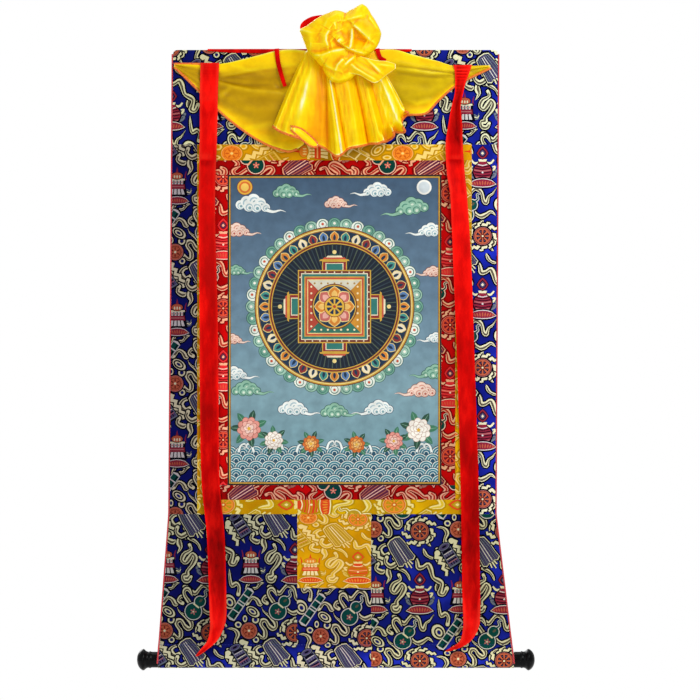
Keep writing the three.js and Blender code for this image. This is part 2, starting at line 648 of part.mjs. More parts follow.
// The upper end of a ribbon is sewn to the wing, so it follows the wing's folds there
function ribbon(name, rows, wing, folds) {
  const top = rows[0].z;
  const sewn = 46; // length that lies on the wing
  const surface = (u, v) => {
    const read = (column) => alongTable(rows, v, column);
    const [left, right, z] = [read("left"), read("right"), read("z")];
    const hidden = Math.sqrt(Math.max(0, RIBBON ** 2 - (right - left) ** 2));
    const free = read("y") - read("lean") * hidden * (u - 0.5);
    const laid = laidOnWing(wing, folds, left, right, z);
    const share = smooth(top - sewn, top - 0.55 * sewn, z);
    return new THREE.Vector3(lerp(left, right, u), Math.min(lerp(free, laid, share), laid), z);
  };
  addPiece(name, sheetSolid(surface, 3, 56, SATIN), MATERIALS.satin);
}

// A flat tape along a short table of places on its middle line, in the plane of the ground
function tape(name, rows, steps, depthAt) {
  const surface = (u, v) => {
    const read = (column) => alongTable(rows, v, column);
    const ahead = alongTable(rows, v + 0.02, "x") - alongTable(rows, v - 0.02, "x");
    const down = alongTable(rows, v + 0.02, "z") - alongTable(rows, v - 0.02, "z");
    const run = Math.hypot(ahead, down);
    const side = (u - 0.5) * read("wide");
    const [x, z] = [read("x") - (side * down) / run, read("z") + (side * ahead) / run];
    return new THREE.Vector3(x, depthAt(x, z), z);
  };
  addPiece(name, sheetSolid(surface, 1, steps, SATIN), MATERIALS.satin);
}

// The hanging tape lies along the top hem behind the veil
const HANGING_TAPE = [
  { x: -184, z: 0.3, wide: 2 },
  { x: -160, z: -1, wide: 4.6 },
  { x: -110, z: -1.6, wide: 6 },
  { x: -60, z: -2.2, wide: 7 },
  { x: 60, z: -2.2, wide: 7 },
  { x: 112, z: -0.4, wide: 3 },
];
const TIE_LEFT = [
  { x: -83.5, z: 1.5, wide: 6.6 },
  { x: -82, z: -16, wide: 6.4 },
  { x: -77, z: -36, wide: 6.2 },
  { x: -71.5, z: -53, wide: 5.4 },
];
const TIE_RIGHT = [
  { x: 62, z: 1.5, wide: 6 },
  { x: 63.5, z: -5, wide: 6 },
  { x: 67, z: -12.5, wide: 6 },
  { x: 74.5, z: -15.5, wide: 4 },
];
const TIE_TOP = [
  { x: -22, z: -4, wide: 8 },
  { x: -36, z: 18, wide: 9 },
  { x: -45, z: 33, wide: 10 },
  { x: -33, z: 44, wide: 8 },
  { x: -14, z: 48, wide: 6 },
];

function redTapes() {
  ribbon("ribbon_left", LEFT_RIBBON, LEFT_WING, LEFT_FOLDS);
  ribbon("ribbon_right", RIGHT_RIBBON, RIGHT_WING, RIGHT_FOLDS);
  const onHem = -CLOTH / 2 - GAP - SATIN / 2;
  const onWing = (wing, folds) => (x, z) => laidOnWing(wing, folds, x - 1, x + 1, z);
  tape("hanging_tape", HANGING_TAPE, 20, () => onHem);
  tape("tie_top", TIE_TOP, 12, () => onHem - GAP - SATIN);
  tape("tie_left", TIE_LEFT, 10, onWing(LEFT_WING, LEFT_FOLDS));
  tape("tie_right", TIE_RIGHT, 8, onWing(RIGHT_WING, RIGHT_FOLDS));
}

mountedPicture();
topPanel();
sidePanels();
bottomPanels();
piping("piping_left", "left", -1);
piping("piping_right", "right", 1);
roller();
veil();
redTapes();

export default scroll;
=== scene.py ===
# Thangka scroll painting: the woven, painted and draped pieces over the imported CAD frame
from math import acos, ceil, cos, exp, floor, hypot, pi, radians, sin, sqrt, tanh

import bmesh
import bpy
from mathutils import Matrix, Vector, noise
from mathutils.bvhtree import BVHTree
from mathutils.geometry import delaunay_2d_cdt


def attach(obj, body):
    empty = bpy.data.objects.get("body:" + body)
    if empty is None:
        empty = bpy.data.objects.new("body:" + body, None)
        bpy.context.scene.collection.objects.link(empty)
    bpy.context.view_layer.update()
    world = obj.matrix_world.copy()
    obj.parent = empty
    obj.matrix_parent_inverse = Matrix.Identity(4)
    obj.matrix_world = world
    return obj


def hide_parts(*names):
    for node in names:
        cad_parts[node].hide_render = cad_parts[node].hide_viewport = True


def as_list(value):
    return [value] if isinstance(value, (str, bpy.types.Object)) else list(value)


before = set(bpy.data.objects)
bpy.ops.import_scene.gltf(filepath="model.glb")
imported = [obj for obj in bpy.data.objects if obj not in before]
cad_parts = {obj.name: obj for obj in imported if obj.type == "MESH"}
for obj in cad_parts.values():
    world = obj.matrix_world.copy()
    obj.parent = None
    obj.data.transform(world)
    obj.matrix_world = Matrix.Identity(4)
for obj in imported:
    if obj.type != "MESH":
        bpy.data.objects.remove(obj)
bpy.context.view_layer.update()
mm = 0.001
waveUnit = 0.314  # a wave texture's scale for bands one metre apart


def hexColour(code, alpha=1.0):
    channels = [int(code[i:i + 2], 16) / 255 for i in (0, 2, 4)]
    return [c / 12.92 if c <= 0.04045 else ((c + 0.055) / 1.055) ** 2.4 for c in channels] + [alpha]


def lerp(a, b, t):
    return a + (b - a) * t


def clamp(x, low=0.0, high=1.0):
    return max(low, min(high, x))


def smooth(start, end, x):
    t = clamp((x - start) / (end - start))
    return t * t * (3 - 2 * t)


def readTable(rows, at):  # straight-line reading by the first column, which rises or falls steadily
    rising = rows[-1][0] > rows[0][0]
    i = 0
    while i < len(rows) - 2 and (at > rows[i + 1][0] if rising else at < rows[i + 1][0]):
        i += 1
    t = clamp((at - rows[i][0]) / (rows[i + 1][0] - rows[i][0]))
    return [lerp(a, b, t) for a, b in zip(rows[i][1:], rows[i + 1][1:])]


def alongTable(rows, t):  # smooth reading by place along the table, from 0 to 1
    place = clamp(t) * (len(rows) - 1)
    i = min(int(place), len(rows) - 2)
    f = place - i
    before, a, b, after = (rows[clamp(k, 0, len(rows) - 1)] for k in (i - 1, i, i + 1, i + 2))
    blend = (2 * f ** 3 - 3 * f * f + 1, f ** 3 - 2 * f * f + f, 3 * f * f - 2 * f ** 3, f ** 3 - f * f)
    return [
        blend[0] * p1 + blend[1] * (p2 - p0) / 2 + blend[2] * p2 + blend[3] * (p3 - p1) / 2
        for p0, p1, p2, p3 in zip(before, a, b, after)
    ]


def setInputs(tree, node, inputs):  # values and links; a node stands for its first live output
    for key, value in inputs.items():
        if isinstance(value, bpy.types.Node):
            value = next(socket for socket in value.outputs if socket.enabled)
        if isinstance(value, bpy.types.NodeSocket):
            tree.links.new(value, node.inputs[key])
        else:
            node.inputs[key].default_value = value


def addNode(tree, kind, inputs=None, ramp=(), **settings):
    node = tree.nodes.new(kind)
    for key, value in settings.items():
        setattr(node, key, value)
    setInputs(tree, node, inputs or {})
    if ramp:
        stops = node.color_ramp.elements
        while len(stops) < len(ramp):
            stops.new(0.5)
        for stop, (place, code) in zip(stops, ramp):
            stop.position = place
            stop.color = hexColour(code)
    return node


def startFinish(name):
    material = bpy.data.materials.new(name)
    material.use_nodes = True
    return material, material.node_tree


def linkObject(name, data):
    obj = bpy.data.objects.new(name, data)
    bpy.context.collection.objects.link(obj)
    return obj


def makeObject(name, points, faces, material, turnSmooth=42):  # points in millimetres
    mesh = bpy.data.meshes.new(name)
    mesh.from_pydata([Vector(p) * mm for p in points], [], faces)
    mesh.validate()
    mesh.materials.append(material)
    mesh.shade_smooth()
    if turnSmooth:
        mesh.set_sharp_from_angle(angle=radians(turnSmooth))
    return linkObject(name, mesh)


def outward(obj):
    bm = bmesh.new()
    bm.from_mesh(obj.data)
    bmesh.ops.recalc_face_normals(bm, faces=bm.faces[:])
    bm.to_mesh(obj.data)
    bm.free()
    return obj


def setPiece(obj, slot, *nodes):
    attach(obj, "root")
    if nodes:
        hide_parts(*nodes)
    return obj


def sheetParts(surface, across, down, thickness):  # a closed thin sheet from a surface of two shares
    grid = [[surface(i / across, j / down) for i in range(across + 1)] for j in range(down + 1)]
    points = [p for row in grid for p in row]
    n = len(points)
    at = lambda i, j: j * (across + 1) + i
    back = []
    for j in range(down + 1):
        for i in range(across + 1):
            du = grid[j][min(i + 1, across)] - grid[j][max(i - 1, 0)]
            dv = grid[min(j + 1, down)][i] - grid[max(j - 1, 0)][i]
            normal = du.cross(dv)
            normal = normal.normalized() if normal.length > 1e-9 else Vector((0, 1, 0))
            back.append(normal if normal.y > 0 else -normal)
    front = [p - b * thickness / 2 for p, b in zip(points, back)]
    rear = [p + b * thickness / 2 for p, b in zip(points, back)]
    faces = []
    for j in range(down):
        for i in range(across):
            ring = [at(i, j), at(i, j + 1), at(i + 1, j + 1), at(i + 1, j)]
            faces += [ring, [k + n for k in ring[::-1]]]
    rim = [at(i, 0) for i in range(across)] + [at(across, j) for j in range(down)]
    rim += [at(i, down) for i in range(across, 0, -1)] + [at(0, j) for j in range(down, 0, -1)]
    faces += [[a, b, b + n, a + n] for a, b in zip(rim, rim[1:] + rim[:1])]
    return front + rear, faces


# The scroll's own form, in millimetres, as its solids have it

scroll = {
    "length": 896, "topSeam": -137, "lowSeam": -673, "corner": 6,
    "cloth": 1.5, "canvas": 1.2, "silk": 1.2, "satin": 1.0, "gap": 0.3,
    "outline": [(0, -234, 237), (-673, -239, 233), (-896, -256, 260)],  # level, left, right
}
sleeve = {"radius": 12, "stitch": 20, "z": -884}
billow = {"ends": (-150, -260, -780, -850), "across": 1.1, "down": 1.5, "edge": 1.4, "half": 245}
ease = 0.03  # what a tight seam leaves open


def billowAt(x, z):
    start, full, fading, end = billow["ends"]
    held = smooth(-start, -full, -z) * (1 - smooth(-fading, -end, -z))
    wave = billow["across"] * sin(x / 66 + 0.7) + billow["down"] * sin(z / 84 + x / 290)
    return held * (wave - billow["edge"] * (x / billow["half"]) ** 4)


def sideEdges(z):
    left, right = readTable(scroll["outline"], z)
    r = scroll["corner"]
    inset = 0 if z < -r else r - sqrt(max(0, r * r - (r + z) ** 2))
    return left + inset, right - inset


def sleeveRun():  # straight run from the stitches to the roller, and the turn round it
    r = sleeve["radius"] - scroll["cloth"] / 2
    return sqrt(sleeve["stitch"] ** 2 - r * r), r * 2 * (pi - acos(r / sleeve["stitch"]))


def sleeveLevels():  # rows of faces that go round the roller
    run, turn = sleeveRun()
    stitch = -sleeve["z"] - sleeve["stitch"]
    return [stitch] + [stitch + run + turn * k / 14 for k in range(15)]


def sleeveEnd():
    run, turn = sleeveRun()
    return -sleeve["z"] - sleeve["stitch"] + 2 * run + turn


# Where a point of the cloth lies: x across and w down the cloth, with the way it faces.
# Below the stitch line the cloth runs round the roller and up the back to the stitches again.
def clothPlace(x, w):
    r = sleeve["radius"] - scroll["cloth"] / 2
    stitch = -sleeve["z"] - sleeve["stitch"]
    bend = acos(r / sleeve["stitch"])
    run, turn = sleeveRun()
    s = w - stitch
    if s <= 0:
        return Vector((x, billowAt(x, -w), -w)), Vector((0, -1, 0))
    if s <= run:
        y = lerp(0, -r * sin(bend), s / run)
        z = lerp(-stitch, sleeve["z"] + r * cos(bend), s / run)
        out = (-sin(bend), cos(bend))
    elif s <= run + turn:
        a = bend + (s - run) / r
        y, z = -r * sin(a), sleeve["z"] + r * cos(a)
        out = (-sin(a), cos(a))
    else:
        t = clamp((s - run - turn) / run)
        y = lerp(r * sin(bend), scroll["cloth"] + 0.2, t)
        z = lerp(sleeve["z"] + r * cos(bend), -stitch - 1, t)
        out = (sin(bend), cos(bend))
    return Vector((x, y, z)), Vector((0, out[0], out[1]))


# Drawing for weaving and painting: closed shapes in the plane, later ones over earlier ones

def placed(points, cx, cy, turn=0.0, scale=1.0):
    c, s = cos(radians(turn)) * scale, sin(radians(turn)) * scale
    return [(cx + x * c - y * s, cy + x * s + y * c) for x, y in points]


def oval(cx, cy, rx, ry=None, turn=0.0, sides=18):
    ry = rx if ry is None else ry
    angles = [radians(360.0 * i / sides) for i in range(sides)]
    return placed([(rx * cos(a), ry * sin(a)) for a in angles], cx, cy, turn)


def boxOf(points):
    return [[side(p[k] for p in points) for k in (0, 1)] for side in (min, max)]


def curveThrough(points, steps):
    return [tuple(alongTable(points, i / steps)) for i in range(steps + 1)]


def drawStroke(shapes, tone, line, widthAt, lean=0.0):  # a stroke of changing width as a run of triangles
    sides = []
    for i, (x, y) in enumerate(line):
        (x0, y0), (x1, y1) = line[max(i - 1, 0)], line[min(i + 1, len(line) - 1)]
        run = hypot(x1 - x0, y1 - y0) or 1
        nx, ny = -(y1 - y0) / run, (x1 - x0) / run
        half = widthAt(i / (len(line) - 1)) / 2
        reaches = (lean * half + half, lean * half - half)
        sides.append([(x + nx * reach, y + ny * reach) for reach in reaches])
    for a, b in zip(sides, sides[1:]):
        shapes += [(tone, [a[0], a[1], b[1]]), (tone, [a[0], b[1], b[0]])]


def aroundPoint(cx, cy, r, degrees):
    return cx + r * cos(radians(degrees)), cy + r * sin(radians(degrees))


def drawOval(shapes, tone, *where, **more):
    shapes.append((tone, oval(*where, **more)))


def drawShape(shapes, tone, points, cx, cy, turn=0.0, scale=1.0):
    shapes.append((tone, placed(points, cx, cy, turn, scale)))


def slab(x0, y0, x1, y1):
    return [(x0, y0), (x1, y0), (x1, y1), (x0, y1)]


def drawDiscs(shapes, cx, cy, sides, rows):  # one over another, the widest first
    for tone, r in rows:
        drawOval(shapes, tone, cx, cy, r, sides=sides)


def areaOf(points):
    return sum(a[0] * b[1] - b[0] * a[1] for a, b in zip(points, points[1:] + points[:1])) / 2


def isInside(ring, x, y):
    inside = False
    for (x0, y0), (x1, y1) in zip(ring, ring[1:] + ring[:1]):
        if (y0 > y) != (y1 > y) and x < x0 + (y - y0) / (y1 - y0) * (x1 - x0):
            inside = not inside
    return inside


def straighten(lines, verts, low, high, slack):  # drops points that the line would pass through anyway
    near = {}
    for a, b in lines:
        near.setdefault(a, set()).add(b)
        near.setdefault(b, set()).add(a)
    for v in sorted(near):
        p = verts[v]
        if len(near[v]) != 2 or min(p.x - low[0], high[0] - p.x, p.y - low[1], high[1] - p.y) < 1e-3:
            continue
        a, b = near[v]
        run = verts[b] - verts[a]
        if b not in near[a] and run.length < 7 and abs(run.cross(p - verts[a])) < slack * run.length:
            for k, other in ((a, b), (b, a)):
                near[k].discard(v)
                near[k].add(other)
            near[v] = set()
    return sorted({(min(a, b), max(a, b)) for a in near for b in near[a]})


def planeSheet(shapes, outline, spacing, slack):
    # one flat sheet of triangles that holds every line of the drawing; each triangle knows its topmost shape
    rings, tones = [list(outline)], ["ground"]
    for tone, points in shapes:
        area = areaOf(points)
        if abs(area) > 1e-3:
            rings.append(list(points) if area > 0 else list(points)[::-1])
            tones.append(tone)
    coords = [p for ring in rings for p in ring]
    faces, count = [], 0
    for ring in rings:
        faces.append(list(range(count, count + len(ring))))
        count += len(ring)
    verts, _, triangles, _, _, sources = delaunay_2d_cdt([Vector(p) for p in coords], [], faces, 1, 1e-5)
    covered = [0.0] * len(rings)
    for ids, shapesHere in zip(triangles, sources):
        size = abs(areaOf([verts[i] for i in ids]))
        for k in shapesHere:
            covered[k] += size
    sound = [k == 0 or c < 1.1 * areaOf(r) + 0.05 for k, (c, r) in enumerate(zip(covered, rings))]
    kept = [[t, max(k for k in s if sound[k])] for t, s in zip(triangles, sources) if 0 in s]
    # a shape that has run over its edge is put back triangle by triangle
    cells = {}
    for n, (ids, _) in enumerate(kept):
        middle = sum((verts[i] for i in ids), Vector((0, 0))) / 3
        cells.setdefault((middle.x // 4, middle.y // 4), []).append((n, middle))
    for k, ring in enumerate(rings):
        if not sound[k]:
            spans = [
                range(int(min(p[m] for p in ring) // 4), int(max(p[m] for p in ring) // 4) + 1)
                for m in (0, 1)
            ]
            for n, middle in [c for i in spans[0] for j in spans[1] for c in cells.get((i, j), [])]:
                if k > kept[n][1] and isInside(ring, middle.x, middle.y):
                    kept[n][1] = k
    # only the lines between two colours are kept, and the sheet is cut again along them
    sides = {}
    for ids, k in kept:
        for a, b in zip(ids, ids[1:] + ids[:1]):
            sides.setdefault((min(a, b), max(a, b)), []).append(tones[k])
    low, high = boxOf(outline)
    lines = straighten([e for e, t in sides.items() if len(t) == 1 or t[0] != t[1]], verts, low, high, slack)
    used = sorted({i for e in lines for i in e})
    number = {i: k for k, i in enumerate(used)}
    counts = [max(1, round((high[k] - low[k]) / spacing)) for k in (0, 1)]
    inner = [
        Vector((lerp(low[0], high[0], i / counts[0]), lerp(low[1], high[1], j / counts[1])))
        for i in range(1, counts[0])
        for j in range(1, counts[1])
    ]
    again, _, pieces, _, _, _ = delaunay_2d_cdt(
        [verts[i] for i in used] + inner, [(number[a], number[b]) for a, b in lines], [], 0, 0.01
    )
    onSides = [[abs(v[k] - at[k]) < 1e-3 for at in (low, high) for k in (0, 1)] for v in again]
    # none that lie flat along a side
    pieces = [ids for ids in pieces if not any(all(s) for s in zip(*(onSides[i] for i in ids)))]
    finder = BVHTree.FromPolygons([(v.x, v.y, 0) for v in verts], [t for t, _ in kept])
    result = []
    for ids in pieces:
        middle = sum((again[i] for i in ids), Vector((0, 0))) / len(ids)
        hit = finder.ray_cast(Vector((middle.x, middle.y, 1)), Vector((0, 0, -1)))[2]
        result.append(tones[kept[hit][1]] if hit is not None else "ground")
    return [(v.x, v.y) for v in again], [list(ids) for ids in pieces], result


# The woven repeat: emblems in staggered rows with ribbons between them, drawn about the coin

weave = {"unit": 1.45, "width": 84.4, "height": 131.5}  # millimetres for each drawing unit, repeat in units
yarns = [
    "ground", "dark", "cream", "core", "orange", "rust", "purple", "red", "white", "green", "pink", "grey"
]
# width in the middle, width at the two ends as shares, then the way it runs
ribbons = [
    (
        3.4, 0.8, 0.3,
        [
            (8, 3), (13, 7), (16, 6), (16, 0), (12, -6), (13, -10), (17, -10), (20, -5), (24, -2), (27, -4),
            (26, -9), (20, -15), (15, -19), (12.5, -24),
        ],
    ),
    (3.0, 0.3, 0.8, [(-22, -2), (-17, -2), (-13, 0), (-11, 4), (-13, 9), (-13, 13), (-9, 13), (-7, 11)]),
    (2.4, 0.9, 0.3, [(0, -39), (4, -42), (8, -43), (11, -47), (15, -48)]),
    (3.2, 0.9, 0.4, [(-2, -27), (3, -33), (8, -31), (11, -26), (14, -28)]),
    (3.2, 0.2, 0.9, [(-19.6, -62), (-19, -52), (-17, -45), (-12.7, -47.3), (-9.7, -43.3), (-10.7, -36.4)]),
    (4.2, 0.4, 0.9, [(-23.5, -83), (-19.6, -79), (-20.6, -72), (-16.6, -69), (-13, -74)]),
    (
        3.6, 0.7, 0.9,
        [
            (25, -86), (26.5, -81), (20, -77), (17.5, -71), (21, -68), (25, -73), (28, -77), (31, -73),
            (28, -66), (23, -60), (22.5, -56), (18.5, -55), (19.5, -50.5), (24, -50), (26.5, -54),
        ],
    ),
    (4.0, 0.2, 0.6, [(12.5, -77), (16, -83), (14.5, -88), (15, -92), (19, -94), (24, -92.5)]),
    (2.4, 0.8, 0.3, [(24, -92.5), (30, -90), (34, -86), (36.3, -80)]),
    (3.8, 0.8, 0.9, [(-8, -112), (-3, -110), (-3, -105), (3, -104), (3, -99), (8, -98)]),
    (3.8, 0.9, 0.3, [(4, -97), (2.5, -92), (8, -89), (11, -91)]),
    (
        3.8, 0.8, 0.9,
        [
            (38.6, 26), (43, 31), (44.5, 38), (49, 38), (54, 35), (57, 40), (59.3, 48), (64, 51), (68, 54),
            (67, 60), (66, 64), (70, 65), (73, 59),
        ],
    ),
    (
        3.2, 0.8, 0.2,
        [
            (19.8, 87.5), (24, 88), (27, 92), (31, 94), (36, 88), (40, 86), (45, 90), (47, 98), (50, 100),
            (52, 94), (56, 91), (60.3, 84.6),
        ],
    ),
    (3.4, 0.9, 0.2, [(36, 108), (40, 112), (44.5, 114), (49.5, 112), (54.4, 109), (59.3, 113)]),
    (3.6, 0.8, 0.8, [(18.8, 15), (10, 16), (6, 21), (10, 26), (15, 24)]),
    (3.6, 0.8, 0.8, [(13, 28), (12, 33), (17, 37), (23, 33), (20, 29)]),
    (2.6, 0.4, 0.3, [(49.5, 19), (52, 25), (56, 28), (60.3, 29)]),
    (3.4, 0.8, 0.4, [(-21, 20), (-18, 25), (-21, 29), (-17, 33), (-13, 31), (-12, 36), (-7, 39), (-4, 44)]),
    (3.0, 0.9, 0.3, [(18, 104), (14, 101), (17, 97), (23, 100), (26, 105)]),
    (3.0, 0.9, 0.4, [(26, 105), (20, 96), (20, 91), (24, 90), (28, 97)]),
    (2.2, 0.3, 0.3, [(-4, 92), (0, 84), (6, 82), (10, 86)]),
    (2.6, 0.3, 0.5, [(31, 2), (33, -4), (37, -9), (44, -11), (47, -14)]),
    (2.4, 0.5, 0.3, [(56, 3), (58, 9), (54, 13), (57, 17)]),
]
# small closed loops of ribbon: middle, half sizes, turn
loops = [
    (-10.7, -6, 3.4, 3.0, 20), (-4, -12, 2.2, 3.4, 0), (6.6, -10.9, 3.4, 3.6, 30), (-5, 11.6, 2.6, 3.2, 0),
    (7, 9, 3.0, 3.0, 0), (-20, -29, 6.4, 7.6, -30), (-19.2, -28.4, 3.2, 4.2, -30), (4, -19, 7.4, 4.4, 35),
    (3.5, -19.2, 4.2, 2.2, 35), (-17, 22, 3.6, 3.0, 0),
]


def drawRibbon(shapes, width, first, last, points):
    wide = 1.24 * width
    line = curveThrough(points, 3 * (len(points) - 1) + 2)
    # fuller and thinner by turns
    swell = lambda t: 0.72 + 0.36 * cos(pi * (len(points) - 1) * t / 2.6 + width) ** 2
    ends = lambda t: min(1, first + (1 - first) * t * 4, last + (1 - last) * (1 - t) * 4)
    point = lambda share, t: 1 if share > 0.5 else min(1, 8 * t + 0.1)
    tips = lambda t: point(first, t) * point(last, 1 - t)  # thin ends run out to a point
    body = lambda t: wide * swell(t) * ends(t) * tips(t)
    for tone, more in (("dark", 3.0), ("cream", 0.0)):
        drawStroke(shapes, tone, line, lambda t: body(t) + more * (0.3 + 0.7 * tips(t)))
        # full ends are round
        shapes += [
            (tone, oval(*line[-i], (body(i) + more) / 2, sides=10))
            for i, share in ((0, first), (1, last))
            if share > 0.5
        ]
    drawStroke(shapes, "core", line[1:-1], lambda t: 0.44 * body(clamp(t, 0.04, 0.96)), 0.5)


def drawLoop(shapes, cx, cy, rx, ry, turn):
    for tone, size, more, sides in [
        ("dark", 1.0, 1.6, 16), ("cream", 1.0, 0.0, 16), ("core", 0.6, 0.0, 12), ("ground", 0.44, 0.0, 10)
    ]:
        drawOval(shapes, tone, cx, cy, rx * size + more, ry * size + more, turn, sides)


def drawCoin(shapes, cx, cy):
    drawDiscs(shapes, cx, cy, 28, [("dark", 9.4), ("pink", 8.2), ("orange", 7.6)])
    drawDiscs(shapes, cx, cy, 24, [("rust", 5.9), ("orange", 5.3)])
    for k in range(6):
        a = 60 * k + 30
        drawOval(shapes, "rust", *aroundPoint(cx, cy, 3.5, a), 1.6, 0.75, a, 10)
        drawOval(shapes, "rust", *aroundPoint(cx, cy, 6.6, a + 30), 0.5, sides=8)
    drawOval(shapes, "cream", cx, cy, 1.2, sides=10)


def drawWheel(shapes, cx, cy):
    for k in range(9):  # flames that curl off the rim
        a = 40 * k + 8
        far = 1.0 + 0.14 * sin(5 * k)
        flame = [(9.2, -2.6), (12.0 * far, -3.2), (12.4 * far, 0.4), (15.2 * far, 0.6), (15.0 * far, 3.4)]
        line = curveThrough(placed(flame, cx, cy, a), 8)
        drawStroke(shapes, "dark", line, lambda t: 5.8 - 1.6 * t)
        drawStroke(shapes, "cream", line, lambda t: 3.3 - 1.7 * t)
    drawDiscs(
        shapes, cx, cy, 28, [("dark", 10.4), ("pink", 9.0), ("rust", 8.5), ("orange", 7.9), ("dark", 6.4)]
    )
    for k in range(8):
        drawShape(shapes, "orange", [(1, -0.5), (6.6, -1.0), (6.6, 1.0), (1, 0.5)], cx, cy, 45 * k)
        drawOval(shapes, "purple", *aroundPoint(cx, cy, 4.9, 45 * k + 22), 0.8, 0.5, 45 * k + 22, 8)
    drawOval(shapes, "rust", cx, cy, 2.2, sides=12)
    drawOval(shapes, "cream", cx, cy, 1.0, sides=8)


def drawParasol(shapes, cx, cy, turn):
    bell = [
        (-7, -13), (-3, -15), (3, -15), (7, -13), (8.4, -6), (8.6, 4), (9.4, 11), (6, 13), (3, 11.4),
        (0, 13.4), (-3, 11.4), (-6, 13), (-9.4, 11), (-8.6, 4), (-8.4, -6),
    ]
    for tone, size in [("dark", 1.2), ("cream", 1.05), ("dark", 0.985), ("purple", 0.95)]:
        drawShape(shapes, tone, bell, cx, cy, turn, size)
    for k in range(6):
        x = -6.2 + 2.48 * k
        bow = 0.18 * x
        line = placed([(0.8 * x, -13), (x + 0.5 * bow, -2), (x + bow, 11)], cx, cy, turn)
        drawStroke(shapes, "dark", curveThrough(line, 4), lambda t: 1.7)
        drawStroke(shapes, "white" if k in (2, 3) else "grey", curveThrough(line, 4), lambda t: 0.85)
    for end, far in ((-3, 17), (3.4, 16.5), (0.4, 19.5)):
        drawStroke(shapes, "dark", placed([(0.7 * end, 12), (end, far)], cx, cy, turn), lambda t: 2.6)
        drawStroke(shapes, "cream", placed([(0.7 * end, 12), (end, far)], cx, cy, turn), lambda t: 1.3)


def drawBox(shapes, cx, cy, turn):
    for side in (-1, 1):  # stepped clouds on both sides
        steps = [
            (9.2, -11), (12.4, -8), (9.0, -5), (12.6, -1.6), (9.2, 1.6), (12.8, 5), (10.6, 9), (13.6, 13)
        ]
        line = placed([(side * x, y - side * 1.5) for x, y in steps], cx, cy, turn)
        for tone, more in (("dark", 3.0), ("cream", 0.0)):
            drawStroke(shapes, tone, line, lambda t: 5.0 - 2.4 * t + more)
            drawOval(shapes, tone, *line[0], 2.9 + more / 2, sides=12)
    frameBox = [(-5.4, -9), (5.4, -9), (6.0, 10), (-6.0, 10)]
    for tone, size in [("dark", 1.18), ("grey", 1.02), ("purple", 0.9)]:
        drawShape(shapes, tone, frameBox, cx, cy, turn, size)
    for y0, y1 in [(-7.4, -5.2), (-1.2, 0.4), (3.0, 4.4)]:
        drawShape(shapes, "dark", [(-4.8, y0), (4.8, y0), (5.0, y1), (-5.0, y1)], cx, cy, turn)
    for y, x0, x1, tone in [
        (-4.8, -4.6, 4.6, "white"), (0.9, -4.8, 4.8, "cream"), (4.9, -5.0, 5.0, "pink"),
        (8.8, -5.2, 5.2, "grey"),
    ]:
        drawShape(shapes, tone, slab(x0, y, x1, y + 0.7), cx, cy, turn)
    for x in (-2.6, 0, 2.6):
        drawShape(shapes, "grey", slab(x - 0.4, -4.0, x + 0.4, -1.4), cx, cy, turn)
        drawShape(shapes, "dark", slab(x - 0.5, 5.8, x + 0.5, 8.6), cx, cy, turn)
    for tone, rx, ry in [("dark", 7.0, 4.2), ("grey", 6.0, 3.3), ("purple", 5.2, 2.6), ("dark", 2.6, 1.1)]:
        drawShape(shapes, tone, oval(0, -11.4, rx, ry, sides=16), cx, cy, turn)


def drawLotusSeat(shapes, cx, cy, half, rise):
    seat = [
        (-1, 0.35), (-0.66, -0.62), (-0.34, -0.95), (0, -1.05), (0.34, -0.95), (0.66, -0.62), (1, 0.35),
        (0.6, 0.92), (0.3, 1.05), (0, 1.1), (-0.3, 1.05), (-0.6, 0.92),
    ]
    for tone, wide, high in [("dark", 1.14, 1.5), ("white", 1.03, 1.12), ("red", 0.97, 0.92)]:
        shapes.append((tone, [(cx + x * half * wide, cy + y * rise * high) for x, y in seat]))
    for k in range(-4, 5):
        x, y = cx + k * half * 0.19, cy + 0.1 + abs(k) * 0.12
        tall = rise * (0.62 - 0.05 * abs(k))
        drawOval(shapes, "orange", x, y, half * 0.055, tall, k * 9, 8)


